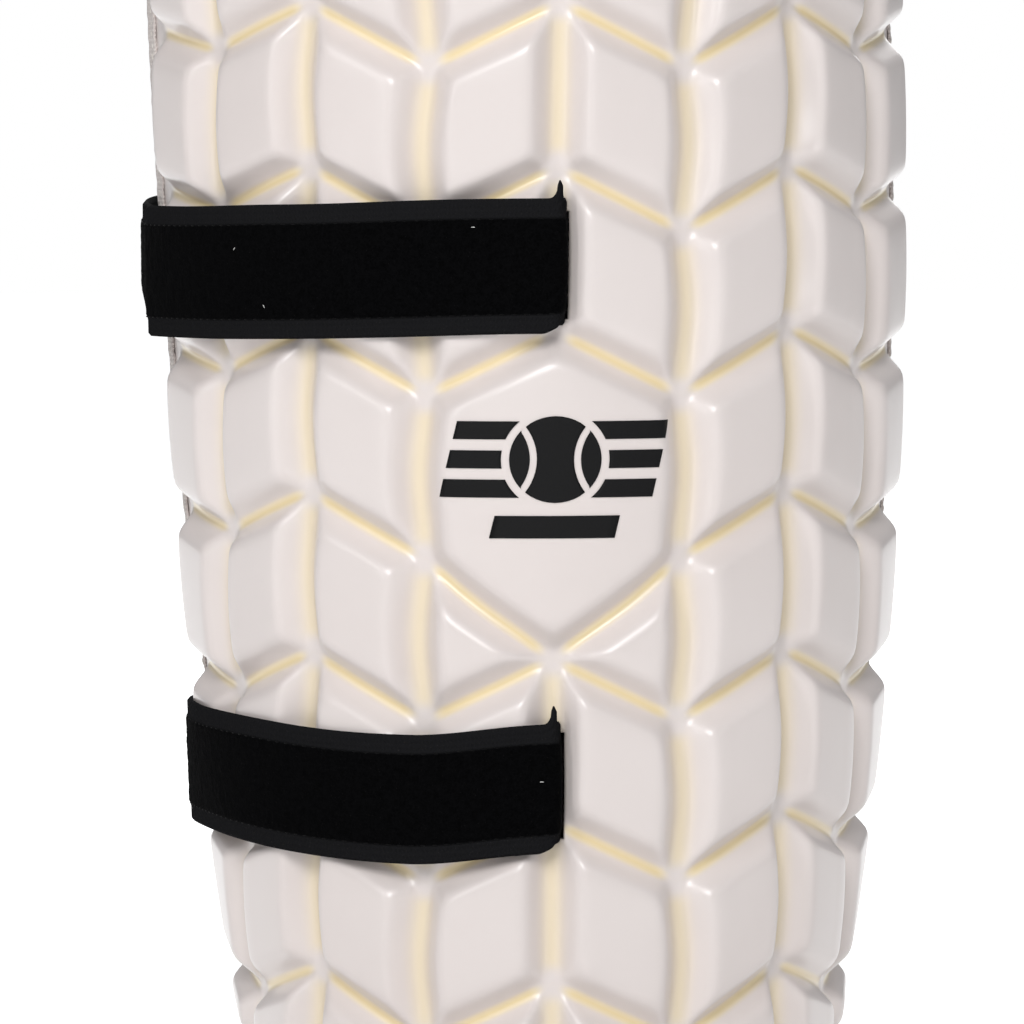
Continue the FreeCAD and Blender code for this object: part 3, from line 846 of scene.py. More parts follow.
@dataclass(frozen=True)
class StrapRoute:
    """Route of a flat strap seen from above.

    Its pose function gives x, y and the direction of travel at a distance and a height.
    """

    pose: Callable[[float, float], PlanPose]
    start: float
    end: float
    level: float

    def place(self, distance: float, across: float, out: float) -> Vector:
        """Point of the strap: across is upwards, out is to the left of the travel."""
        z = self.level + across
        x, y, heading = self.pose(distance, z)
        return Vector((x - out * math.sin(heading), y + out * math.cos(heading), z))

    def outward(self, distance: float) -> Vector:
        """Direction to the left of the travel."""
        heading = self.pose(distance, self.level)[2]
        return Vector((-math.sin(heading), math.cos(heading), 0.0))


def strap_mesh(
    route: StrapRoute,
    profile: Sequence[tuple[float, float]],
    steps: int,
    shape: Callable[[float, float, float, bool], tuple[float, float]],
    rounding: float = 0.0,
) -> bmesh.types.BMesh:
    """Sweeps a closed profile along a strap's route.

    Args:
        route: the route.
        profile: closed section as (across, out) points.
        steps: number of steps along the route.
        shape: gives (across, out) again for a distance, across, out and whether
            the point is on the left face.
        rounding: corner radius at the free end.

    Returns:
        The closed mesh, with a UV map in metres.
    """
    bm = bmesh.new()
    layer = bm.loops.layers.uv.new("UVMap")
    count = len(profile)
    span = route.end - route.start
    half = max(across for across, _ in profile)
    flat: dict[bmesh.types.BMVert, tuple[float, float]] = {}
    for vert, i, j in MeshMaker.grid(bm, steps, count):
        distance = route.start + span * i / steps
        across, out = profile[j % count]
        to_end = route.end - distance
        if rounding and to_end < rounding:
            across *= 1 - rounding / half * (1 - math.sqrt(max(0.0, 1 - (1 - to_end / rounding) ** 2)))
        across, out = shape(distance, across, out, j % count < count // 2)
        vert.co = route.place(distance, across, out)
        flat[vert] = (distance, profile[j % count][0])
    for face in bm.faces:
        for loop in face.loops:
            loop[layer].uv = flat[loop.vert]
    bmesh.ops.remove_doubles(bm, verts=bm.verts[:], dist=WELD)
    ends = [edge for edge in bm.edges if edge.is_boundary]
    bmesh.ops.holes_fill(bm, edges=ends, sides=0)
    bmesh.ops.recalc_face_normals(bm, faces=bm.faces[:])
    return bm


def band_profile(half: float, thick: float, columns: int) -> list[tuple[float, float]]:
    """Closed section of a strap.

    Args:
        half: half of the width.
        thick: thickness at the edges.
        columns: points over the width on each face.

    Returns:
        The section as (across, out) points.
    """
    steps = [-half + 2 * half * i / (columns - 1) for i in range(columns)]
    pinch = [min(1.0, ((half - abs(w)) / (0.7 * MM) + 0.3)) for w in steps]
    outer = [(w, thick / 2 * p) for w, p in zip(steps, pinch)]
    inner = [(w, -thick / 2 * p) for w, p in zip(steps, pinch)]
    return outer + inner[::-1]


# ---- Sub-assemblies --------------------------------------------------------------------
@dataclass(frozen=True)
class Slit:
    """Upright slit through the moulding for a strap."""

    level: float
    centre: float = 1.8 * MM
    half_width: float = 1.75 * MM
    half_height: float = 15.6 * MM
    near_side: float = 16 * MM
    near_end: float = 32 * MM

    def open(self, bm: bmesh.types.BMesh) -> None:
        """Cuts the slit in a mesh that is still flat."""
        planes = [((self.centre + side * self.half_width, 0, 0), (1, 0, 0)) for side in (-1, 1)]
        planes += [((0, self.level + side * self.half_height, 0), (0, 1, 0)) for side in (-1, 1)]
        for place, normal in planes:
            faces = {f for v in bm.verts if self._near(v.co) for f in v.link_faces}
            edges = {edge for face in faces for edge in face.edges}
            corners = {vert for face in faces for vert in face.verts}
            geom = [*corners, *edges, *faces]
            bmesh.ops.bisect_plane(bm, geom=geom, dist=MERGE, plane_co=place, plane_no=normal)
        inside = [face for face in bm.faces if self._inside(face.calc_center_median())]
        bmesh.ops.delete(bm, geom=inside, context="FACES")

    def _near(self, at: Vector) -> bool:
        """Whether a flat place is close enough to be cut."""
        beside = abs(at.x - self.centre) < self.near_side
        return beside and abs(at.y - self.level) < self.near_end

    def _inside(self, at: Vector) -> bool:
        """Whether a flat place is in the slit."""
        wide = abs(at.x - self.centre) < self.half_width
        return wide and abs(at.y - self.level) < self.half_height

    def holds(self, at: Vector) -> bool:
        """Whether a place of the finished pad is on the slit's rim."""
        return abs(at.x) < self.near_side and abs(at.z - self.level) < self.near_end


@dataclass
class MouldedShell:
    """The coated foam moulding."""

    surface: PadSurface
    pattern: BlockPattern
    wardrobe: Wardrobe
    slits: Sequence[Slit]
    cell_steps: int = 34
    quick_steps: int = 14
    back_across: int = 48
    back_up: int = 40
    rim_steps: int = 6
    packing: float = 0.3

    def build(self) -> bpy.types.Object:
        """Builds the face, its back and the edge between them."""
        steps = self.cell_steps
        bm = bmesh.new()
        tint = bm.verts.layers.float.new("groove_tint")
        outline = Outline(self.surface, self.surface.binding_wall)
        self._lay_out(bm, steps)
        self._split_panel_foot(bm)
        outline.trim(bm)
        for slit in self.slits:
            slit.open(bm)
        for vert in bm.verts:
            s, z = vert.co.x, vert.co.y
            relief = self.pattern.relief(s, z)
            vert[tint] = relief.tint
            vert.co = self.surface.point(s, z, relief.height)
        self._close_back(bm, outline)
        bmesh.ops.recalc_face_normals(bm, faces=bm.faces[:])
        piece = MeshMaker.finish("moulded_shell_skin", bm, [self.wardrobe.skin], "moulded_skin")
        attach(piece, "pad")
        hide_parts("moulded_shell", "upper_slit_lining", "lower_slit_lining")
        return piece

    def _lay_out(self, bm: bmesh.types.BMesh, steps: int) -> None:
        """Lays the grid out flat along the groove lines, closer together near them."""
        pattern = self.pattern
        rows = int(self.surface.height / pattern.row_pitch) + 1
        across = 2 * pattern.columns * steps + 2 * self.rim_steps
        for vert, i, j in MeshMaker.grid(bm, across, rows * steps):
            column = (i - self.rim_steps) / steps
            rim = min(max(column, 0.0), 2.0 * pattern.columns) - column
            column = self._packed(column + rim) - pattern.columns
            s = column * pattern.pitch
            if rim:
                width = self.surface.side_edge - pattern.columns * pattern.pitch
                s -= rim * steps / self.rim_steps * width
            row = self._packed(j / steps) - 1
            z = pattern.first_row + row * pattern.row_pitch - pattern.drop_at(s)
            s += pattern.bow_at(s, row)
            vert.co = (s, z + pattern.lift_at(s, z), 0)

    def _split_panel_foot(self, bm: bmesh.types.BMesh) -> None:
        """Splits the faces below the panel along the lines of its two lower sides."""
        pattern = self.pattern
        for column, method in ((0, "FIXED"), (-1, "ALTERNATE")):
            faces = []
            for face in bm.faces:
                at = face.calc_center_median()
                row = pattern.row_at(at.x, at.y)
                s = at.x - pattern.bow_at(at.x, row)
                if math.floor(s / pattern.pitch) == column and math.floor(row) == pattern.panel_bottom:
                    faces.append(face)
            bmesh.ops.triangulate(bm, faces=faces, quad_method=method)

    def _packed(self, value: float) -> float:
        """Value moved towards the nearest whole number."""
        whole = math.floor(value)
        t = value - whole
        return whole + t - self.packing * math.sin(math.tau * t) / math.tau

    def _close_back(self, bm: bmesh.types.BMesh, outline: Outline) -> None:
        """Adds the plain back of the wall and joins it to the face."""
        back = MeshMaker.sheet(self.surface, outline, self.back_across, self.back_up)
        for slit in self.slits:
            slit.open(back)
        for vert in back.verts:
            vert.co = self.surface.point(vert.co.x, vert.co.y, -self.surface.wall)
        bmesh.ops.reverse_faces(back, faces=back.faces[:])
        scratch = bpy.data.meshes.new("scratch")
        back.to_mesh(scratch)
        back.free()
        bm.from_mesh(scratch)
        bpy.data.meshes.remove(scratch)
        rims: list[list[bmesh.types.BMEdge]] = [[] for _ in range(len(self.slits) + 1)]
        for edge in bm.edges:
            if edge.is_boundary:
                found = [i for i, slit in enumerate(self.slits) if slit.holds(edge.verts[0].co)]
                rims[found[0] if found else -1].append(edge)
        for rim in rims:
            bmesh.ops.bridge_loops(bm, edges=rim)


@dataclass
class EmblemPrint:
    """Plain mark on the panel: a ball disc, stepped side bars and a bar below."""

    surface: PadSurface
    pattern: BlockPattern
    wardrobe: Wardrobe
    disc: float = 12.5 * MM
    rise: float = 6 * MM
    seam_radius: float = 16 * MM
    seam_width: float = 1.9 * MM
    seam_centre: float = 21 * MM
    wing_bars: int = 3
    wing_length: float = 14.5 * MM
    wing_height: float = 5.2 * MM
    wing_pitch: float = 8.4 * MM
    wing_gap: float = 2.2 * MM
    slant: float = 0.22
    bar_length: float = 34 * MM
    bar_height: float = 6.5 * MM
    bar_drop: float = 19.5 * MM
    film: float = 0.15 * MM
    cap_reach: float = 9.2 * MM
    patch_across: int = 14
    patch_up: int = 22

    def build(self) -> bpy.types.Object:
        """Builds the print as thin film on the panel."""
        pattern = self.pattern
        middle = (pattern.node(1, 4).y + pattern.node(1, 3).y) / 2
        level = middle + self.rise
        bm = bmesh.new()
        self._ball(bm, level)
        for side in (-1, 1):
            for i in range(self.wing_bars):
                self._wing(bm, level, side, (i - (self.wing_bars - 1) / 2) * self.wing_pitch)
        low = -self.bar_drop - self.bar_height / 2
        self._patch(
            bm, level, low, low + self.bar_height,
            lambda z: -self.bar_length / 2 + self.slant * (z + self.bar_drop),
            lambda z: self.bar_length / 2 + self.slant * (z + self.bar_drop),
        )
        for vert in bm.verts:
            s, z = vert.co.x, vert.co.y
            vert.co = self.surface.point(s, z, pattern.relief(s, z).height + self.film)
        bm.normal_update()
        front = [face for face in bm.faces if face.normal.y > 0]
        bmesh.ops.reverse_faces(bm, faces=front)
        bmesh.ops.solidify(bm, geom=bm.faces[:], thickness=-self.film)
        bmesh.ops.recalc_face_normals(bm, faces=bm.faces[:])
        piece = MeshMaker.finish("emblem_film", bm, [self.wardrobe.ink], "print_ink")
        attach(piece, "pad")
        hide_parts("emblem_print")
        return piece

    def _round(self, radius: float, z: float) -> float:
        """Half width of a circle at height z from its centre."""
        return math.sqrt(max(0.0, radius**2 - z**2))

    def _patch(
        self, bm: bmesh.types.BMesh, level: float, low: float, high: float,
        left: Callable[[float], float], right: Callable[[float], float],
    ) -> None:
        """Adds a flat patch between two side curves."""
        for vert, i, j in MeshMaker.grid(bm, self.patch_across, self.patch_up):
            z = low + (high - low) * (1 - math.cos(math.pi * j / self.patch_up)) / 2
            a, b = left(z), right(z)
            vert.co = (a + (b - a) * i / self.patch_across, level + z, 0)

    def _ball(self, bm: bmesh.types.BMesh, level: float) -> None:
        """Adds the disc as three parts with the seams between them."""
        outer = self.seam_radius
        inner = self.seam_radius - self.seam_width
        self._patch(
            bm, level, -self.disc, self.disc,
            lambda z: max(-self._round(self.disc, z), self._round(outer, z) - self.seam_centre),
            lambda z: min(self._round(self.disc, z), self.seam_centre - self._round(outer, z)),
        )
        for side in (-1, 1):
            self._patch(
                bm, level, -self.cap_reach, self.cap_reach,
                lambda z: side * self._round(self.disc, z),
                lambda z: side
                * min(self._round(self.disc, z), self.seam_centre - self._round(inner, z)),
            )

    def _wing(self, bm: bmesh.types.BMesh, level: float, side: int, offset: float) -> None:
        """Adds one side bar, cut round to clear the disc."""
        clear = self.disc + self.wing_gap
        end = clear + self.wing_length
        self._patch(
            bm, level, offset - self.wing_height / 2, offset + self.wing_height / 2,
            lambda z: side * self._round(clear, z),
            lambda z: side * end + self.slant * z,
        )


@dataclass
class EdgeBinding:
    """Folded tape sewn round the edge of the pad."""

    surface: PadSurface
    wardrobe: Wardrobe
    front_wall: float = 0.9 * MM
    stitch_pitch: float = 3.4 * MM
    stitch_length: float = 2.5 * MM
    stitch_thick: float = 0.55 * MM
    stitch_inset: float = 2.4 * MM
    pucker: float = 0.12 * MM
    swell: float = 0.2 * MM
    steps: int = 560
    quick_steps: int = 200

    def profile(self) -> list[tuple[float, float]]:
        """Closed section as (distance inside the pad's edge, offset) points."""
        wall, lip = self.surface.binding_wall, self.surface.binding_lip
        deep = self.surface.pad_wall
        edge = wall + lip
        face = [(edge, 0.1 * MM), (edge, wall * 0.6), (edge - 0.5 * MM, wall * 0.92)]
        face += [(edge * 0.6, wall), (wall, wall), (0.5 * MM, wall * 0.6), (0.0, -0.6 * MM)]
        back = [(p, -deep - o) for p, o in face[::-1]]
        face = [(p, min(o, self.front_wall)) for p, o in face]
        inner = [(wall, -deep), (wall, 0.0)]
        return face + [(0.0, -deep / 2)] + back + inner

    def build(self) -> bpy.types.Object:
        """Sweeps the section round the outline and sews it down."""
        outline = Outline(self.surface, 0.0)
        profile = self.profile()
        steps = self.steps
        bm = bmesh.new()
        for vert, i, j in MeshMaker.grid(bm, steps, len(profile)):
            inset, out = profile[j % len(profile)]
            distance = outline.total * (i % steps) / steps
            vert.co = self._place(outline, distance, inset, out)
        bmesh.ops.remove_doubles(bm, verts=bm.verts[:], dist=WELD)
        bmesh.ops.recalc_face_normals(bm, faces=bm.faces[:])
        self._sew(bm, outline)
        finishes = [self.wardrobe.tape, self.wardrobe.pale_thread]
        piece = MeshMaker.finish("binding_tape_edge", bm, finishes, "binding_tape")
        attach(piece, "pad")
        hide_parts("edge_binding")
        return piece

    def _place(self, outline: Outline, distance: float, inset: float, out: float) -> Vector:
        """Point of the tape, with the slight puckering of a sewn edge."""
        at, inward = outline.at(distance)
        flat = at + inward * inset
        pucker = self.pucker * math.sin(distance / self.stitch_pitch * math.pi)
        swell = self.swell * noise.noise(Vector((distance * 60, out * 90, 0)))
        grow = (pucker + swell) * (1 if out > 0 else -1)
        return self.surface.point(flat.x, max(0.0, flat.y), out + grow)

    def _sew(self, bm: bmesh.types.BMesh, outline: Outline) -> None:
        """Adds a row of stitches on each side of the pad."""
        count = int(outline.total / self.stitch_pitch)
        inset = self.surface.binding_wall + self.surface.binding_lip - self.stitch_inset
        for out in (self.front_wall, -self.surface.pad_wall - self.surface.binding_wall):
            for i in range(count):
                distance = outline.total * i / count
                here = self._place(outline, distance, inset, out)
                ahead = self._place(outline, distance + self.stitch_pitch / 2, inset, out)
                deeper = self._place(outline, distance, inset, out * 1.2)
                length, thick = self.stitch_length, self.stitch_thick
                MeshMaker.stitch(bm, here, ahead - here, deeper - here, length, thick, 1)


@dataclass
class FoamLayer:
    """Soft foam between the moulding and the lining."""

    surface: PadSurface
    wardrobe: Wardrobe
    outer: float = -5.3 * MM
    thickness: float = 7.6 * MM
    clearance: float = 0.3 * MM
    across: int = 64
    up: int = 60

    def build(self) -> bpy.types.Object:
        """Builds the foam sheet, cut to the pad's outline."""
        outline = Outline(self.surface, self.surface.binding_wall + self.clearance)
        bm = MeshMaker.sheet(self.surface, outline, self.across, self.up)
        MeshMaker.thicken(bm)
        for vert in bm.verts:
            out = self.outer - self.thickness * vert.co.z
            vert.co = self.surface.point(vert.co.x, vert.co.y, out)
        bmesh.ops.recalc_face_normals(bm, faces=bm.faces[:])
        piece = MeshMaker.finish("foam_sheet", bm, [self.wardrobe.foam], "foam")
        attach(piece, "pad")
        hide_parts("foam_layer")
        return piece


@dataclass
class ComfortLiner:
    """Quilted spacer-mesh lining on the leg side."""

    surface: PadSurface
    wardrobe: Wardrobe
    quilt: float = 34 * MM
    puff: float = 2.6 * MM
    seam_level: float = -14.9 * MM
    thickness: float = 1.6 * MM
    clearance: float = 0.3 * MM
    slope: float = 0.62
    seam_reach: float = 3.6 * MM
    edge_lift: float = 0.9 * MM
    steps: tuple[int, int] = (150, 176)
    quick_steps: tuple[int, int] = (60, 70)

    def build(self) -> bpy.types.Object:
        """Builds the quilted lining."""
        outline = Outline(self.surface, self.surface.binding_wall + self.clearance)
        steps = self.steps
        bm = MeshMaker.sheet(self.surface, outline, *steps)
        layer = bm.loops.layers.uv.new("UVMap")
        MeshMaker.thicken(bm)
        for face in bm.faces:
            for loop in face.loops:
                loop[layer].uv = loop.vert.co.xy
        for vert in bm.verts:
            s, z, inner = vert.co
            out = self.seam_level - self._quilting(s, z)
            vert.co = self.surface.point(s, z, out if inner else self.seam_level + self.thickness)
        bmesh.ops.recalc_face_normals(bm, faces=bm.faces[:])
        piece = MeshMaker.finish("comfort_liner_quilt", bm, [self.wardrobe.liner], "liner_mesh")
        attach(piece, "pad")
        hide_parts("comfort_liner")
        return piece

    def _quilting(self, s: float, z: float) -> float:
        """Swell of the lining between its diamond seams."""
        lines = [(s + sign * z * self.slope) / self.quilt for sign in (1, -1)]
        near = min(abs(line - round(line)) for line in lines) * self.quilt
        held = smooth((self.surface.to_edge(s, z) - 6 * MM) / (12 * MM))
        swell = self.puff * (1 - math.exp(-near / self.seam_reach))
        return swell * held + self.edge_lift * (1 - held)


def walk(start: PlanPose, runs: Sequence[tuple[float, float]], distance: float) -> PlanPose:
    """Plan position along a chain of straight runs and tangent arcs.

    Args:
        start: x, y and heading of the first point.
        runs: length and turn of each run.
        distance: distance from the start.

    Returns:
        x, y and heading there.
    """
    x, y, heading = start
    left = distance
    for i, (length, turn) in enumerate(runs):
        step = left if i == len(runs) - 1 else min(left, length)
        angle = turn * step / length
        if abs(angle) > 1e-9:
            radius = step / angle
            x += radius * (math.sin(heading + angle) - math.sin(heading))
            y += radius * (math.cos(heading) - math.cos(heading + angle))
        else:
            x += step * math.cos(heading)
            y += step * math.sin(heading)
        heading += angle
        left -= step
        if left <= 0.0:
            break
    return x, y, heading


@dataclass
class LegLoop:
    """Plan of one strap's way round the leg, at the strap's own level."""

    surface: PadSurface
    level: float
    width: float = 39 * MM
    wall: float = 2.6 * MM
    seat: float = 7.4 * MM
    behind: float = 16 * MM
    on_pad: float = 24 * MM
    gap: float = 0.3 * MM
    hinge_gap: float = 0.6 * MM
    tail_corner: float = 60 * MM
    tail_corner_turn: float = math.radians(60)
    back_radius: float = 140 * MM
    back_turn: float = math.radians(40)
    rear_corner: float = 50 * MM
    hook_wall: float = 1.2 * MM
    layer_gap: float = 0.2 * MM

    def tail_start(self) -> PlanPose:
        """Where the strap leaves the pad at the -X edge."""
        s = -self.surface.side_edge
        at = self.surface.point(s, self.level, self.seat + self.wall / 2)
        return at.x, at.y, math.pi + self.surface.pose(s, self.level)[2]

    def tail_runs(self) -> list[tuple[float, float]]:
        """Runs of the tail."""
        corner = (self.tail_corner * self.tail_corner_turn, -self.tail_corner_turn)
        back = (self.back_radius * self.back_turn, -self.back_turn)
        return [(self.hinge_gap, 0.0), corner, back]

    def tail_length(self) -> float:
        """Length of the tail."""
        return sum(length for length, _ in self.tail_runs())

    def back_centre(self) -> Vector:
        """Centre of the arc at the back of the leg."""
        runs = self.tail_runs()[:2]
        x, y, heading = walk(self.tail_start(), runs, runs[0][0] + runs[1][0])
        radius = self.back_radius
        return Vector((x + radius * math.sin(heading), y - radius * math.cos(heading)))

    def fastened_radius(self) -> float:
        """Radius of the middle of the fastening tab."""
        return self.back_radius + self.wall + self.hook_wall + self.gap + self.layer_gap / 2

    def tail_end_angle(self) -> float:
        """Direction from the back arc's centre to the free end of the tail."""
        return walk(self.tail_start(), self.tail_runs(), self.tail_length())[2] + math.pi / 2

    def tab_out(self) -> float:
        """Offset of the sewn tab's middle from the reference surface."""
        return -self.surface.pad_wall - self.surface.binding_wall - self.gap - self.wall / 2

    def tab_end(self) -> PlanPose:
        """Where the sewn tab ends behind the +X edge."""
        s = self.surface.side_edge + self.behind
        at = self.surface.point(s, self.level, self.tab_out())
        return at.x, at.y, self.surface.pose(s, self.level)[2]

    def rear_runs(self) -> list[tuple[float, float]]:
        """Runs of the elastic from the sewn tab to the fastening tab."""
        x, y, heading = walk(self.tab_end(), [(1.0, 0.0)], self.hinge_gap)
        forward = Vector((math.cos(heading), math.sin(heading)))
        inward = Vector((-forward.y, forward.x))
        from_centre = Vector((x, y)) + inward * self.rear_corner - self.back_centre()
        along = from_centre.dot(forward)
        reach = self.fastened_radius() - self.rear_corner
        straight = -along + math.sqrt(along**2 - from_centre.length_squared + reach**2)
        meet = from_centre + forward * straight
        angle = math.atan2(meet.y, meet.x)
        turn = angle + math.pi / 2 - heading
        back = self.tail_end_angle() - angle - self.gap / self.fastened_radius()
        corner = (self.rear_corner * turn, turn)
        return [(self.hinge_gap + straight, 0.0), corner, (self.fastened_radius() * back, back)]

    def back_pose(self, distance: float) -> PlanPose:
        """Pose on the fastening tab, a distance past the end of the tail."""
        angle = self.tail_end_angle()
        at = self.back_centre() + Vector((math.cos(angle), math.sin(angle))) * self.fastened_radius()
        return walk((at.x, at.y, angle + math.pi / 2), [(self.fastened_radius(), 1.0)], distance)


@dataclass(frozen=True)
class StrapHang:
    """How far a strap strays from its own level on its way round the pad."""

    start: float
    sag: float
    sag_span: float
    edge_sag: float
    edge_from: float = 80 * MM

    def lift(self, distance: float, edge: float) -> float:
        """Height above the strap's own level at a distance from its slit."""
        near = self.sag * smooth(distance / self.sag_span)
        far = self.edge_sag * smooth((distance - self.edge_from) / (70 * MM))
        return (self.start - near - far) * (1 - smooth((distance - edge) / (60 * MM)))


@dataclass
class FrontStrap:
    """Loop-faced elastic: out of the slit, over the blocks and on as the tail."""

    label: str
    loop: LegLoop
    wardrobe: Wardrobe
    hang: StrapHang
    lint: Sequence[tuple[float, float]]
    fold: float = 3 * MM
    fold_at: float = 1.2 * MM
    depth: float = 10.4 * MM
    bulge: float = 1.2 * MM
    spike: float = 5.2 * MM
    tuck: float = 2.2 * MM
    narrowing: float = 0.0
    hug: float = 4.2 * MM
    selvedge: float = 5.6 * MM
    rib: float = 1.5 * MM
    step: float = 0.5 * MM
    thickness: float = 1.9 * MM
    end_radius: float = 7 * MM
    stitch_pitch: float = 3.3 * MM

    def build(self) -> bpy.types.Object:
        """Builds the strap with its stitching and lint."""
        quarter = self.fold * math.pi / 2
        edge = self.loop.surface.side_edge
        start = self.fold_at - quarter - self.depth
        route = StrapRoute(self._pose, start, edge + self.loop.tail_length(), self.loop.level)
        half = self.loop.width / 2
        step = self.step
        profile = band_profile(half, self.thickness, 43)
        count = int((route.end - route.start) / step)
        bm = strap_mesh(route, profile, count, self._surface, rounding=self.end_radius)
        self._sew(bm, route)
        finishes = [self.wardrobe.loop, self.wardrobe.thread, self.wardrobe.lint]
        piece = MeshMaker.finish(f"{self.label}_loop_strap", bm, finishes, "loop_elastic")
        x, y, heading = self.loop.tail_start()
        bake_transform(piece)
        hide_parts(f"{self.label}_front_strap", f"{self.label}_tail_strap")
        return piece

    def _pose(self, distance: float, z: float) -> PlanPose:
        """Plan pose of the strap's middle."""
        surface, loop = self.loop.surface, self.loop
        edge = surface.side_edge
        out = loop.seat + loop.wall / 2
        if distance >= edge:
            return walk(loop.tail_start(), loop.tail_runs(), distance - edge)
        if distance >= self.fold_at:
            held = 1 - smooth((distance - edge + 45 * MM) / (40 * MM))
            height = loop.level + (z - loop.level) * held
            at = surface.point(-distance, height, out)
            return at.x, at.y, math.pi + surface.pose(-distance, height)[2]
        start = surface.point(-self.fold_at, z, out)
        past = self.fold_at - distance
        angle = min(past / self.fold, math.pi / 2)
        x = start.x + self.fold * math.sin(angle)
        y = start.y + self.fold * (1 - math.cos(angle)) + max(0.0, past - self.fold * math.pi / 2)
        return x, y, math.pi + angle

    def _surface(self, d: float, w: float, out: float, outer: bool) -> tuple[float, float]:
        """Raised pile between ribbed selvedges, the fold's bulge and its corner."""
        half = self.loop.width / 2
        inside = half - abs(w) - self.selvedge
        pile = smooth(inside / (0.8 * MM) + 0.5)
        place = Vector((d, w * (1 if outer else -1), 0.01 if outer else 0.3))
        if outer:
            fine = noise.noise(place * 900) * 0.20 + noise.noise(place * 320) * 0.16
            ribs = 0.13 * math.cos(math.tau * d / self.rib)
            edge = smooth((half - abs(w)) / (1.0 * MM))
            out += (pile * (0.62 + fine) + (1 - pile) * ribs * edge) * MM
        past = self.fold_at - d
        folded = smooth(past / (4 * MM)) * smooth(1 - (past - 5 * MM) / (5 * MM))
        out -= (self.bulge * (w / half) ** 2 + 0.3 * MM) * folded
        t = (past - 2.2 * MM) / (1.7 * MM)
        corner = smooth((w - 14 * MM) / (5.5 * MM)) * math.exp(-t * t)
        tucked = smooth((-w - 12 * MM) / (7.5 * MM)) * smooth((past + 3 * MM) / (6 * MM))
        wave = 0.35 * MM * noise.noise(Vector((d * 24, 3.0 if w > 0 else 7.0, self.loop.level)))
        edge = self.loop.surface.side_edge
        hug = self.hug * (1 + 0.6 * smooth((-w - 4 * MM) / (14 * MM)))
        rising = smooth((d - edge + 20 * MM) / (18 * MM))
        out -= hug * rising * (1 - smooth((d - edge - 3 * MM) / (55 * MM)))
        on_pad = 1 - smooth((d - edge) / (50 * MM))
        across = w * (1 - self.narrowing * on_pad) + self.spike * corner + self.tuck * tucked
        across += wave * abs(w) / half
        return across + self.hang.lift(d, edge), out

    def _sew(self, bm: bmesh.types.BMesh, route: StrapRoute) -> None:
        """Adds the running stitch beside each selvedge and a few lint fibres."""
        half = self.loop.width / 2
        for side in (-1, 1):
            w = side * (half - self.selvedge - 0.15 * MM)
            for i in range(int((route.end - 6 * MM) / self.stitch_pitch)):
                d = (i + 0.5) * self.stitch_pitch
                across, out = self._surface(d, w, 0.95 * MM, False)
                here = route.place(d, across, out + 0.38 * MM)
                ahead = route.place(d + 1 * MM, across, out + 0.38 * MM)
                MeshMaker.stitch(bm, here, ahead - here, route.outward(d), 2.1 * MM, 0.5 * MM, 1)
        for i, (d, w) in enumerate(self.lint):
            across, out = self._surface(d, w, 0.95 * MM, True)
            here = route.place(d, across, out + 0.05 * MM)
            lean = Vector((math.cos(i * 2.1), 0.0, math.sin(i * 2.1)))
            MeshMaker.stitch(bm, here, lean, route.outward(d), 1.5 * MM, 0.28 * MM, 2)


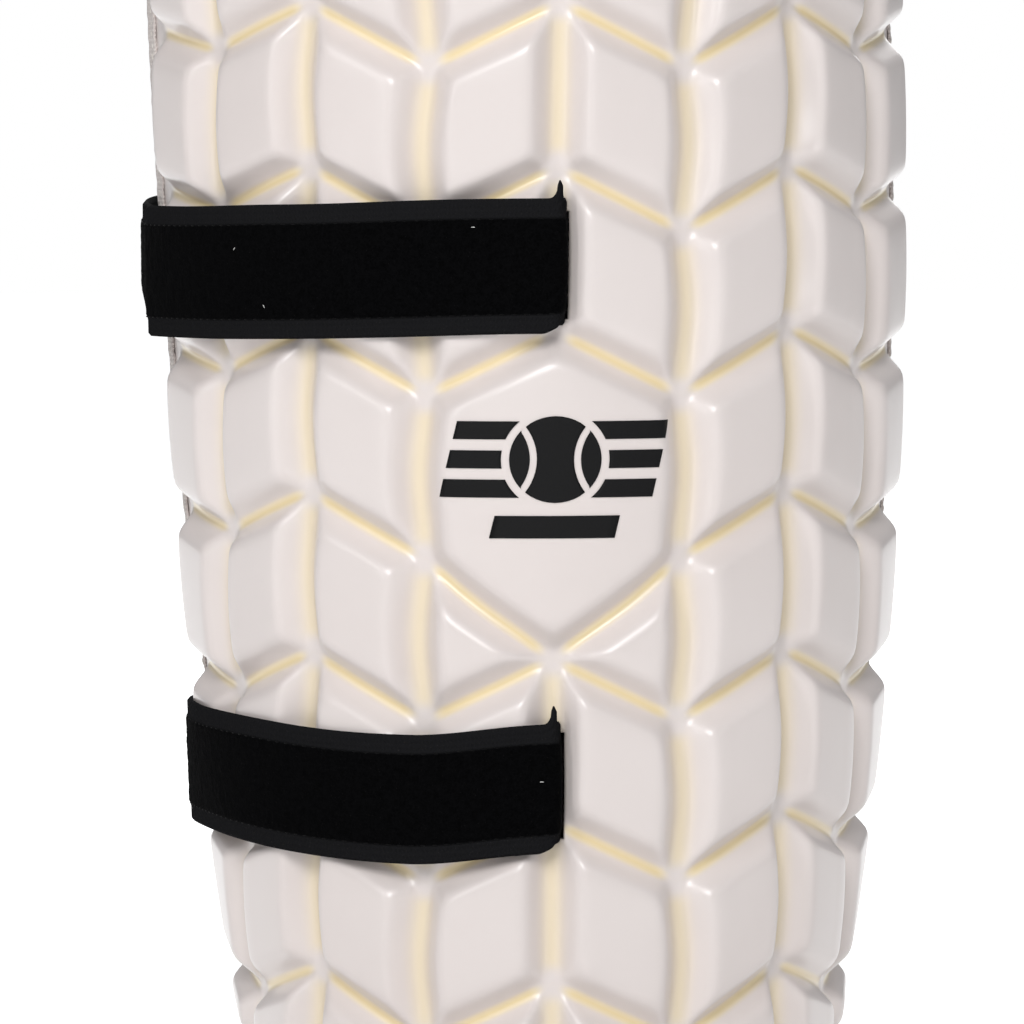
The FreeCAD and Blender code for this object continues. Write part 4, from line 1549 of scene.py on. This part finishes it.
@dataclass
class RearStrap:
    """Sewn webbing tab and the plain elastic behind the leg."""

    label: str
    loop: LegLoop
    wardrobe: Wardrobe
    step: float = 0.55 * MM
    rib: float = 1.6 * MM

    def build(self) -> list[bpy.types.Object]:
        """Builds the strap and the bar tacks that hold it."""
        sewn = self.loop.on_pad + self.loop.behind
        total = sewn + sum(length for length, _ in self.loop.rear_runs())
        route = StrapRoute(self._pose, 0.0, total, self.loop.level)
        step = self.step
        profile = band_profile(self.loop.width / 2, self.loop.wall, 31)
        bm = strap_mesh(route, profile, int(total / step), self._surface)
        self._sew_box(bm, route, total - 16 * MM, total - 4 * MM)
        finishes = [self.wardrobe.plain, self.wardrobe.thread]
        piece = MeshMaker.finish(f"{self.label}_back_elastic", bm, finishes, "plain_elastic")
        x, y, heading = self.loop.tab_end()
        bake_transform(piece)
        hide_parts(f"{self.label}_anchor_tab", f"{self.label}_rear_elastic")
        return [piece, self._tacks(route)]

    def _pose(self, distance: float, z: float) -> PlanPose:
        """Plan pose of the strap's middle."""
        loop, surface = self.loop, self.loop.surface
        sewn = loop.on_pad + loop.behind
        if distance >= sewn:
            return walk(loop.tab_end(), loop.rear_runs(), distance - sewn)
        s = surface.side_edge - loop.on_pad + distance
        height = loop.level + (z - loop.level) * (1 - smooth((distance - 14 * MM) / (24 * MM)))
        at = surface.point(s, height, loop.tab_out())
        return at.x, at.y, surface.pose(s, height)[2]

    def _surface(self, d: float, w: float, out: float, inner: bool) -> tuple[float, float]:
        """Cross ribs of the elastic with flat, tighter selvedges."""
        half = self.loop.width / 2
        edge = smooth((half - abs(w)) / (1.2 * MM))
        field_share = smooth((half - abs(w) - 3.2 * MM) / (0.8 * MM))
        swell = (0.12 * math.cos(math.tau * d / self.rib) * edge - 0.12) * field_share * MM
        groove = 0.10 * MM * math.cos(math.tau * w / (3.4 * MM)) * field_share
        return w, out + (swell + groove - 0.1 * MM) * (1 if inner else -1)

    def _sew_box(self, bm: bmesh.types.BMesh, route: StrapRoute, low: float, high: float) -> None:
        """Sews a box with a cross through the strap."""
        side = self.loop.width / 2 - 4 * MM
        ends = ((low, -side), (high, -side), (high, side), (low, side))
        corners = [Vector(end) for end in ends]
        lines = list(zip(corners, corners[1:] + corners[:1]))
        lines += [(corners[0], corners[2]), (corners[1], corners[3])]
        for a, b in lines:
            count = max(2, int((b - a).length / (2.6 * MM)))
            for i in range(count):
                at, ahead = a.lerp(b, (i + 0.5) / count), a.lerp(b, (i + 0.8) / count)
                out = -self.loop.wall / 2 - 0.02 * MM
                here, there = (route.place(p.x, p.y, out) for p in (at, ahead))
                MeshMaker.stitch(bm, here, there - here, -route.outward(at.x), 2 * MM, 0.5 * MM, 1)

    def _tacks(self, route: StrapRoute) -> bpy.types.Object:
        """Two dense zigzag bar tacks across the tab."""
        bm = bmesh.new()
        half = self.loop.width / 2 - 3.6 * MM
        count = 46
        out = self.loop.wall / 2 + 0.12 * MM
        for middle in (4.5 * MM, 16.5 * MM):
            for i in range(count):
                w = -half + 2 * half * (i + 0.5) / count
                lean = (0.8 if i % 2 else -0.8) * MM
                a = route.place(middle - 0.9 * MM, w - lean / 2, out)
                b = route.place(middle + 0.9 * MM, w + lean / 2, out)
                MeshMaker.stitch(bm, (a + b) / 2, b - a, route.outward(middle), 2.4 * MM, 0.62 * MM, 0)
        piece = MeshMaker.finish(f"{self.label}_bar_tack_threads", bm, [self.wardrobe.thread], "thread")
        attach(piece, "pad")
        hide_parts(f"{self.label}_bar_tacks")
        return piece


@dataclass
class Fastening:
    """Tab at the end of the rear strap, with its hook patch and moulded grip."""

    label: str
    loop: LegLoop
    wardrobe: Wardrobe
    turn: float = math.radians(34)
    patch_margin: float = math.radians(3)
    grip_turn: float = math.radians(8)
    hook_pitch: float = 1.7 * MM
    ridges: int = 5
    bend: float = 12 * MM
    step: float = 0.6 * MM
    relief: float = 0.09 * MM
    herringbone: float = 2.2 * MM

    def build(self) -> list[bpy.types.Object]:
        """Builds the tab, the hook patch and the grip."""
        return [self._tab(), self._hooks(), self._grip()]

    def _route(self, start: float, end: float) -> StrapRoute:
        """Route on the back arc between two turns past the tail's end."""
        radius = self.loop.fastened_radius()
        pose = lambda d, z: self.loop.back_pose(d)
        return StrapRoute(pose, start * radius, end * radius, self.loop.level)

    def _tab(self) -> bpy.types.Object:
        """Webbing tab, sewn round its edge."""
        route = self._route(0.0, self.turn)
        half = self.loop.width / 2
        step = self.step
        profile = band_profile(half, self.loop.wall, 35)
        bm = strap_mesh(route, profile, int((route.end - route.start) / step), self._weave)
        out = -self.loop.wall / 2 - 0.02 * MM
        for side in (-1, 1):
            for i in range(int((route.end - 8 * MM) / (3 * MM))):
                d = 5 * MM + i * 3 * MM
                here, there = (route.place(p, side * (half - 2.6 * MM), out) for p in (d, d + 1 * MM))
                MeshMaker.stitch(bm, here, there - here, -route.outward(d), 2 * MM, 0.5 * MM, 1)
        finishes = [self.wardrobe.webbing, self.wardrobe.thread]
        piece = MeshMaker.finish(f"{self.label}_fastening_webbing", bm, finishes, "webbing")
        start, end = route.place(0.0, 0.0, 0.0), route.place(self.bend, 0.0, 0.0)
        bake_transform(piece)
        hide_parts(f"{self.label}_fastening_tab")
        return piece

    def _weave(self, d: float, w: float, out: float, inner: bool) -> tuple[float, float]:
        """Fine herringbone relief of the webbing."""
        slant = d + abs(((w / (5 * MM)) % 2) - 1) * 5 * MM
        edge = smooth((self.loop.width / 2 - abs(w)) / (1.0 * MM))
        depth = self.relief * (math.cos(math.tau * slant / self.herringbone) - 1) * edge
        return w, out + depth * (1 if inner else -1)

    def _hooks(self) -> bpy.types.Object:
        """Hook tape: a thin base with rows of small hooks on its inner face."""
        route = self._route(self.patch_margin, self.turn - self.patch_margin)
        half = self.loop.width / 2
        base = self.loop.wall / 2 + self.loop.layer_gap / 2
        profile = [(-half, base), (half, base), (half, base + 0.5 * MM), (-half, base + 0.5 * MM)]
        bm = strap_mesh(route, profile, 40, lambda d, w, out, inner: (w, out))
        across = int((self.loop.width - 4 * MM) / self.hook_pitch)
        along = int((route.end - route.start - 4 * MM) / self.hook_pitch)
        for i in range(along):
            d = route.start + 2 * MM + (i + 0.5) * self.hook_pitch
            inward = route.outward(d)
            for j in range(across):
                w = -half + 2 * MM + (j + 0.5) * self.hook_pitch + (0.4 * MM if i % 2 else -0.4 * MM)
                foot = route.place(d, w, base + 0.78 * MM)
                turn = inward.to_track_quat("Z", "Y").to_matrix().to_4x4()
                bmesh.ops.create_cone(
                    bm, cap_ends=True, segments=4, radius1=0.32 * MM, radius2=0.2 * MM,
                    depth=0.8 * MM, matrix=Matrix.Translation(foot) @ turn,
                )
        piece = MeshMaker.finish(f"{self.label}_hook_field", bm, [self.wardrobe.hooks], "hook_tape")
        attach(piece, f"{self.label}_fastening")
        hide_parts(f"{self.label}_hook_patch")
        return piece

    def _grip(self) -> bpy.types.Object:
        """Rubber grip with cross ridges and rounded corners."""
        gap = 0.1 * MM / self.loop.fastened_radius()
        route = self._route(self.turn + gap, self.turn + self.grip_turn)
        length = route.end - route.start
        profile = band_profile(self.loop.width / 2, 1.8 * MM, 25)

        def ridged(d: float, w: float, out: float, inner: bool) -> tuple[float, float]:
            """Ridges across both faces, fading at the sides."""
            t = (d - route.start) / length
            held = smooth((self.loop.width / 2 - abs(w) - 2 * MM) / (2 * MM))
            ridge = 0.55 * MM * held * smooth(t * 6) * smooth((1 - t) * 5)
            wave = 0.5 - 0.5 * math.cos(math.tau * t * self.ridges)
            return w, out + ridge * wave * (1 if inner else -1)

        bm = strap_mesh(route, profile, 70, ridged, rounding=9 * MM)
        piece = MeshMaker.finish(f"{self.label}_rubber_grip", bm, [self.wardrobe.grip], "grip_rubber")
        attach(piece, f"{self.label}_fastening")
        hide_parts(f"{self.label}_pull_tip")
        return piece


@dataclass
class CarriedOver:
    """CAD nodes whose shape is right, given their finishes."""

    wardrobe: Wardrobe

    def dress(self) -> None:
        """Assigns a finish to each node."""
        for label in ("upper", "lower"):
            node, finish = f"{label}_anchor_patch", self.wardrobe.webbing
            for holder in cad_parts[node].material_slots:
                holder.link = "OBJECT"
                holder.material = finish
            LOG.info("%s keeps its shape in %s", node, finish.name)


class Studio:
    """Floor, lights, world and camera."""

    azimuth: float = math.radians(-3.443)
    elevation: float = math.radians(4.406)
    distance: float = 1.7863
    lens: float = 217.3
    aim: Vector = Vector((0.0, 0.0, 0.1785))

    def build(self) -> None:
        """Builds everything that isn't part of the pad."""
        self._floor()
        self._world()
        self._light("front_softbox", (-0.30, -2.0, 1.3), (0.8, 0.8), 27.0)
        self._light("left_strip", (-1.1, -1.25, 0.8), (0.09, 1.2), 4.5)
        self._light("right_strip", (1.1, -1.25, 0.5), (0.16, 1.2), 1.1)
        self._light("rear_softbox", (0.2, 2.0, 1.2), (1.4, 1.4), 22.0)
        self._camera()
        bpy.context.scene.view_settings.view_transform = "Standard"

    def _floor(self) -> None:
        """White floor that keeps the pad's shadow."""
        bm = bmesh.new()
        bmesh.ops.create_grid(bm, x_segments=1, y_segments=1, size=6.0)
        mesh = bpy.data.meshes.new("studio_floor")
        bm.to_mesh(mesh)
        bm.free()
        floor = bpy.data.objects.new("studio_floor", mesh)
        bpy.context.scene.collection.objects.link(floor)
        material = bpy.data.materials.new("studio_floor")
        material.use_nodes = True
        graph = Graph(material.node_tree)
        shader = material.node_tree.nodes["Principled BSDF"]
        shader.inputs["Base Color"].default_value = (0.86, 0.86, 0.86, 1.0)
        shader.inputs["Roughness"].default_value = 0.9
        shader.inputs["Specular IOR Level"].default_value = 0.0
        glow = graph.add("ShaderNodeEmission", Color=(1.0, 1.0, 1.0), Strength=0.78)
        both = graph.add("ShaderNodeAddShader")
        graph.plug(both.inputs[0], shader.outputs[0])
        graph.plug(both.inputs[1], glow.outputs[0])
        path = graph.add("ShaderNodeLightPath")
        seen = graph.maths("ADD", path.outputs["Is Camera Ray"], path.outputs["Is Glossy Ray"], clamp=True)
        pick = graph.add("ShaderNodeMixShader", Fac=seen)
        graph.plug(pick.inputs[1], shader.outputs[0])
        graph.plug(pick.inputs[2], both.outputs[0])
        graph.plug(material.node_tree.nodes["Material Output"].inputs["Surface"], pick.outputs[0])
        mesh.materials.append(material)

    def _world(self) -> None:
        """Soft white surroundings, plain white where the camera sees them."""
        world = bpy.data.worlds.new("studio")
        bpy.context.scene.world = world
        world.use_nodes = True
        graph = Graph(world.node_tree)
        path = graph.add("ShaderNodeLightPath")
        ground = world.node_tree.nodes["Background"]
        ground.inputs["Color"].default_value = (0.97, 0.98, 1.0, 1.0)
        ground.inputs["Strength"].default_value = 0.32
        white = graph.add("ShaderNodeBackground", Color=(1.0, 1.0, 1.0), Strength=1.0)
        pick = graph.add("ShaderNodeMixShader", Fac=path.outputs["Is Camera Ray"])
        graph.plug(pick.inputs[1], ground.outputs[0])
        graph.plug(pick.inputs[2], white.outputs[0])
        graph.plug(world.node_tree.nodes["World Output"].inputs["Surface"], pick.outputs[0])

    def _light(
        self, name: str, place: tuple[float, float, float], size: tuple[float, float], power: float
    ) -> None:
        """Adds a rectangular soft light that points at the pad."""
        lamp = bpy.data.lights.new(name, "AREA")
        lamp.shape = "RECTANGLE"
        lamp.size, lamp.size_y = size
        lamp.energy = power
        light = bpy.data.objects.new(name, lamp)
        light.location = place
        light.rotation_euler = (self.aim - Vector(place)).to_track_quat("-Z", "Y").to_euler()
        bpy.context.scene.collection.objects.link(light)

    def _camera(self) -> None:
        """Adds the camera at the viewing angle."""
        level = math.cos(self.elevation)
        east, north = math.sin(self.azimuth) * level, -math.cos(self.azimuth) * level
        back = Vector((east, north, math.sin(self.elevation)))
        data = bpy.data.cameras.new("camera")
        data.lens = self.lens
        data.sensor_width = 36.0
        data.shift_x = -0.0407
        data.shift_y = 0.0054
        data.clip_end = 50.0
        camera = bpy.data.objects.new("camera", data)
        camera.location = self.aim + back * self.distance
        camera.rotation_euler = (-back).to_track_quat("-Z", "Y").to_euler()
        bpy.context.scene.collection.objects.link(camera)
        bpy.context.scene.camera = camera


def main() -> None:
    """Builds the leg pad and the studio round it."""
    logging.basicConfig(level=logging.INFO, format="%(name)s: %(message)s")
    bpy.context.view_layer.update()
    surface = PadSurface(height=0.385)
    pattern = BlockPattern(surface)
    wardrobe = Wardrobe()
    levels = {"upper": 249.5 * MM, "lower": 99.0 * MM}
    hangs = {
        "upper": StrapHang(1.9 * MM, 3.0 * MM, 110 * MM, 1.2 * MM),
        "lower": StrapHang(1.5 * MM, 3.8 * MM, 40 * MM, -1.9 * MM, 45 * MM),
    }
    lint = {
        "upper": [(22.7 * MM, 11.5 * MM), (84 * MM, -10 * MM), (95 * MM, 7 * MM)],
        "lower": [(3 * MM, 2.5 * MM)],
    }
    slits = [Slit(level + hangs[label].start) for label, level in levels.items()]
    MouldedShell(surface, pattern, wardrobe, slits).build()
    EmblemPrint(surface, pattern, wardrobe).build()
    EdgeBinding(surface, wardrobe).build()
    FoamLayer(surface, wardrobe).build()
    ComfortLiner(surface, wardrobe).build()
    for label, level in levels.items():
        loop = LegLoop(surface, level)
        narrowing = 0.035 if label == "lower" else 0.0
        FrontStrap(label, loop, wardrobe, hangs[label], lint[label], narrowing=narrowing).build()
        RearStrap(label, loop, wardrobe).build()
        Fastening(label, loop, wardrobe).build()
    CarriedOver(wardrobe).dress()
    Studio().build()


if __name__ == "__main__":
    main()
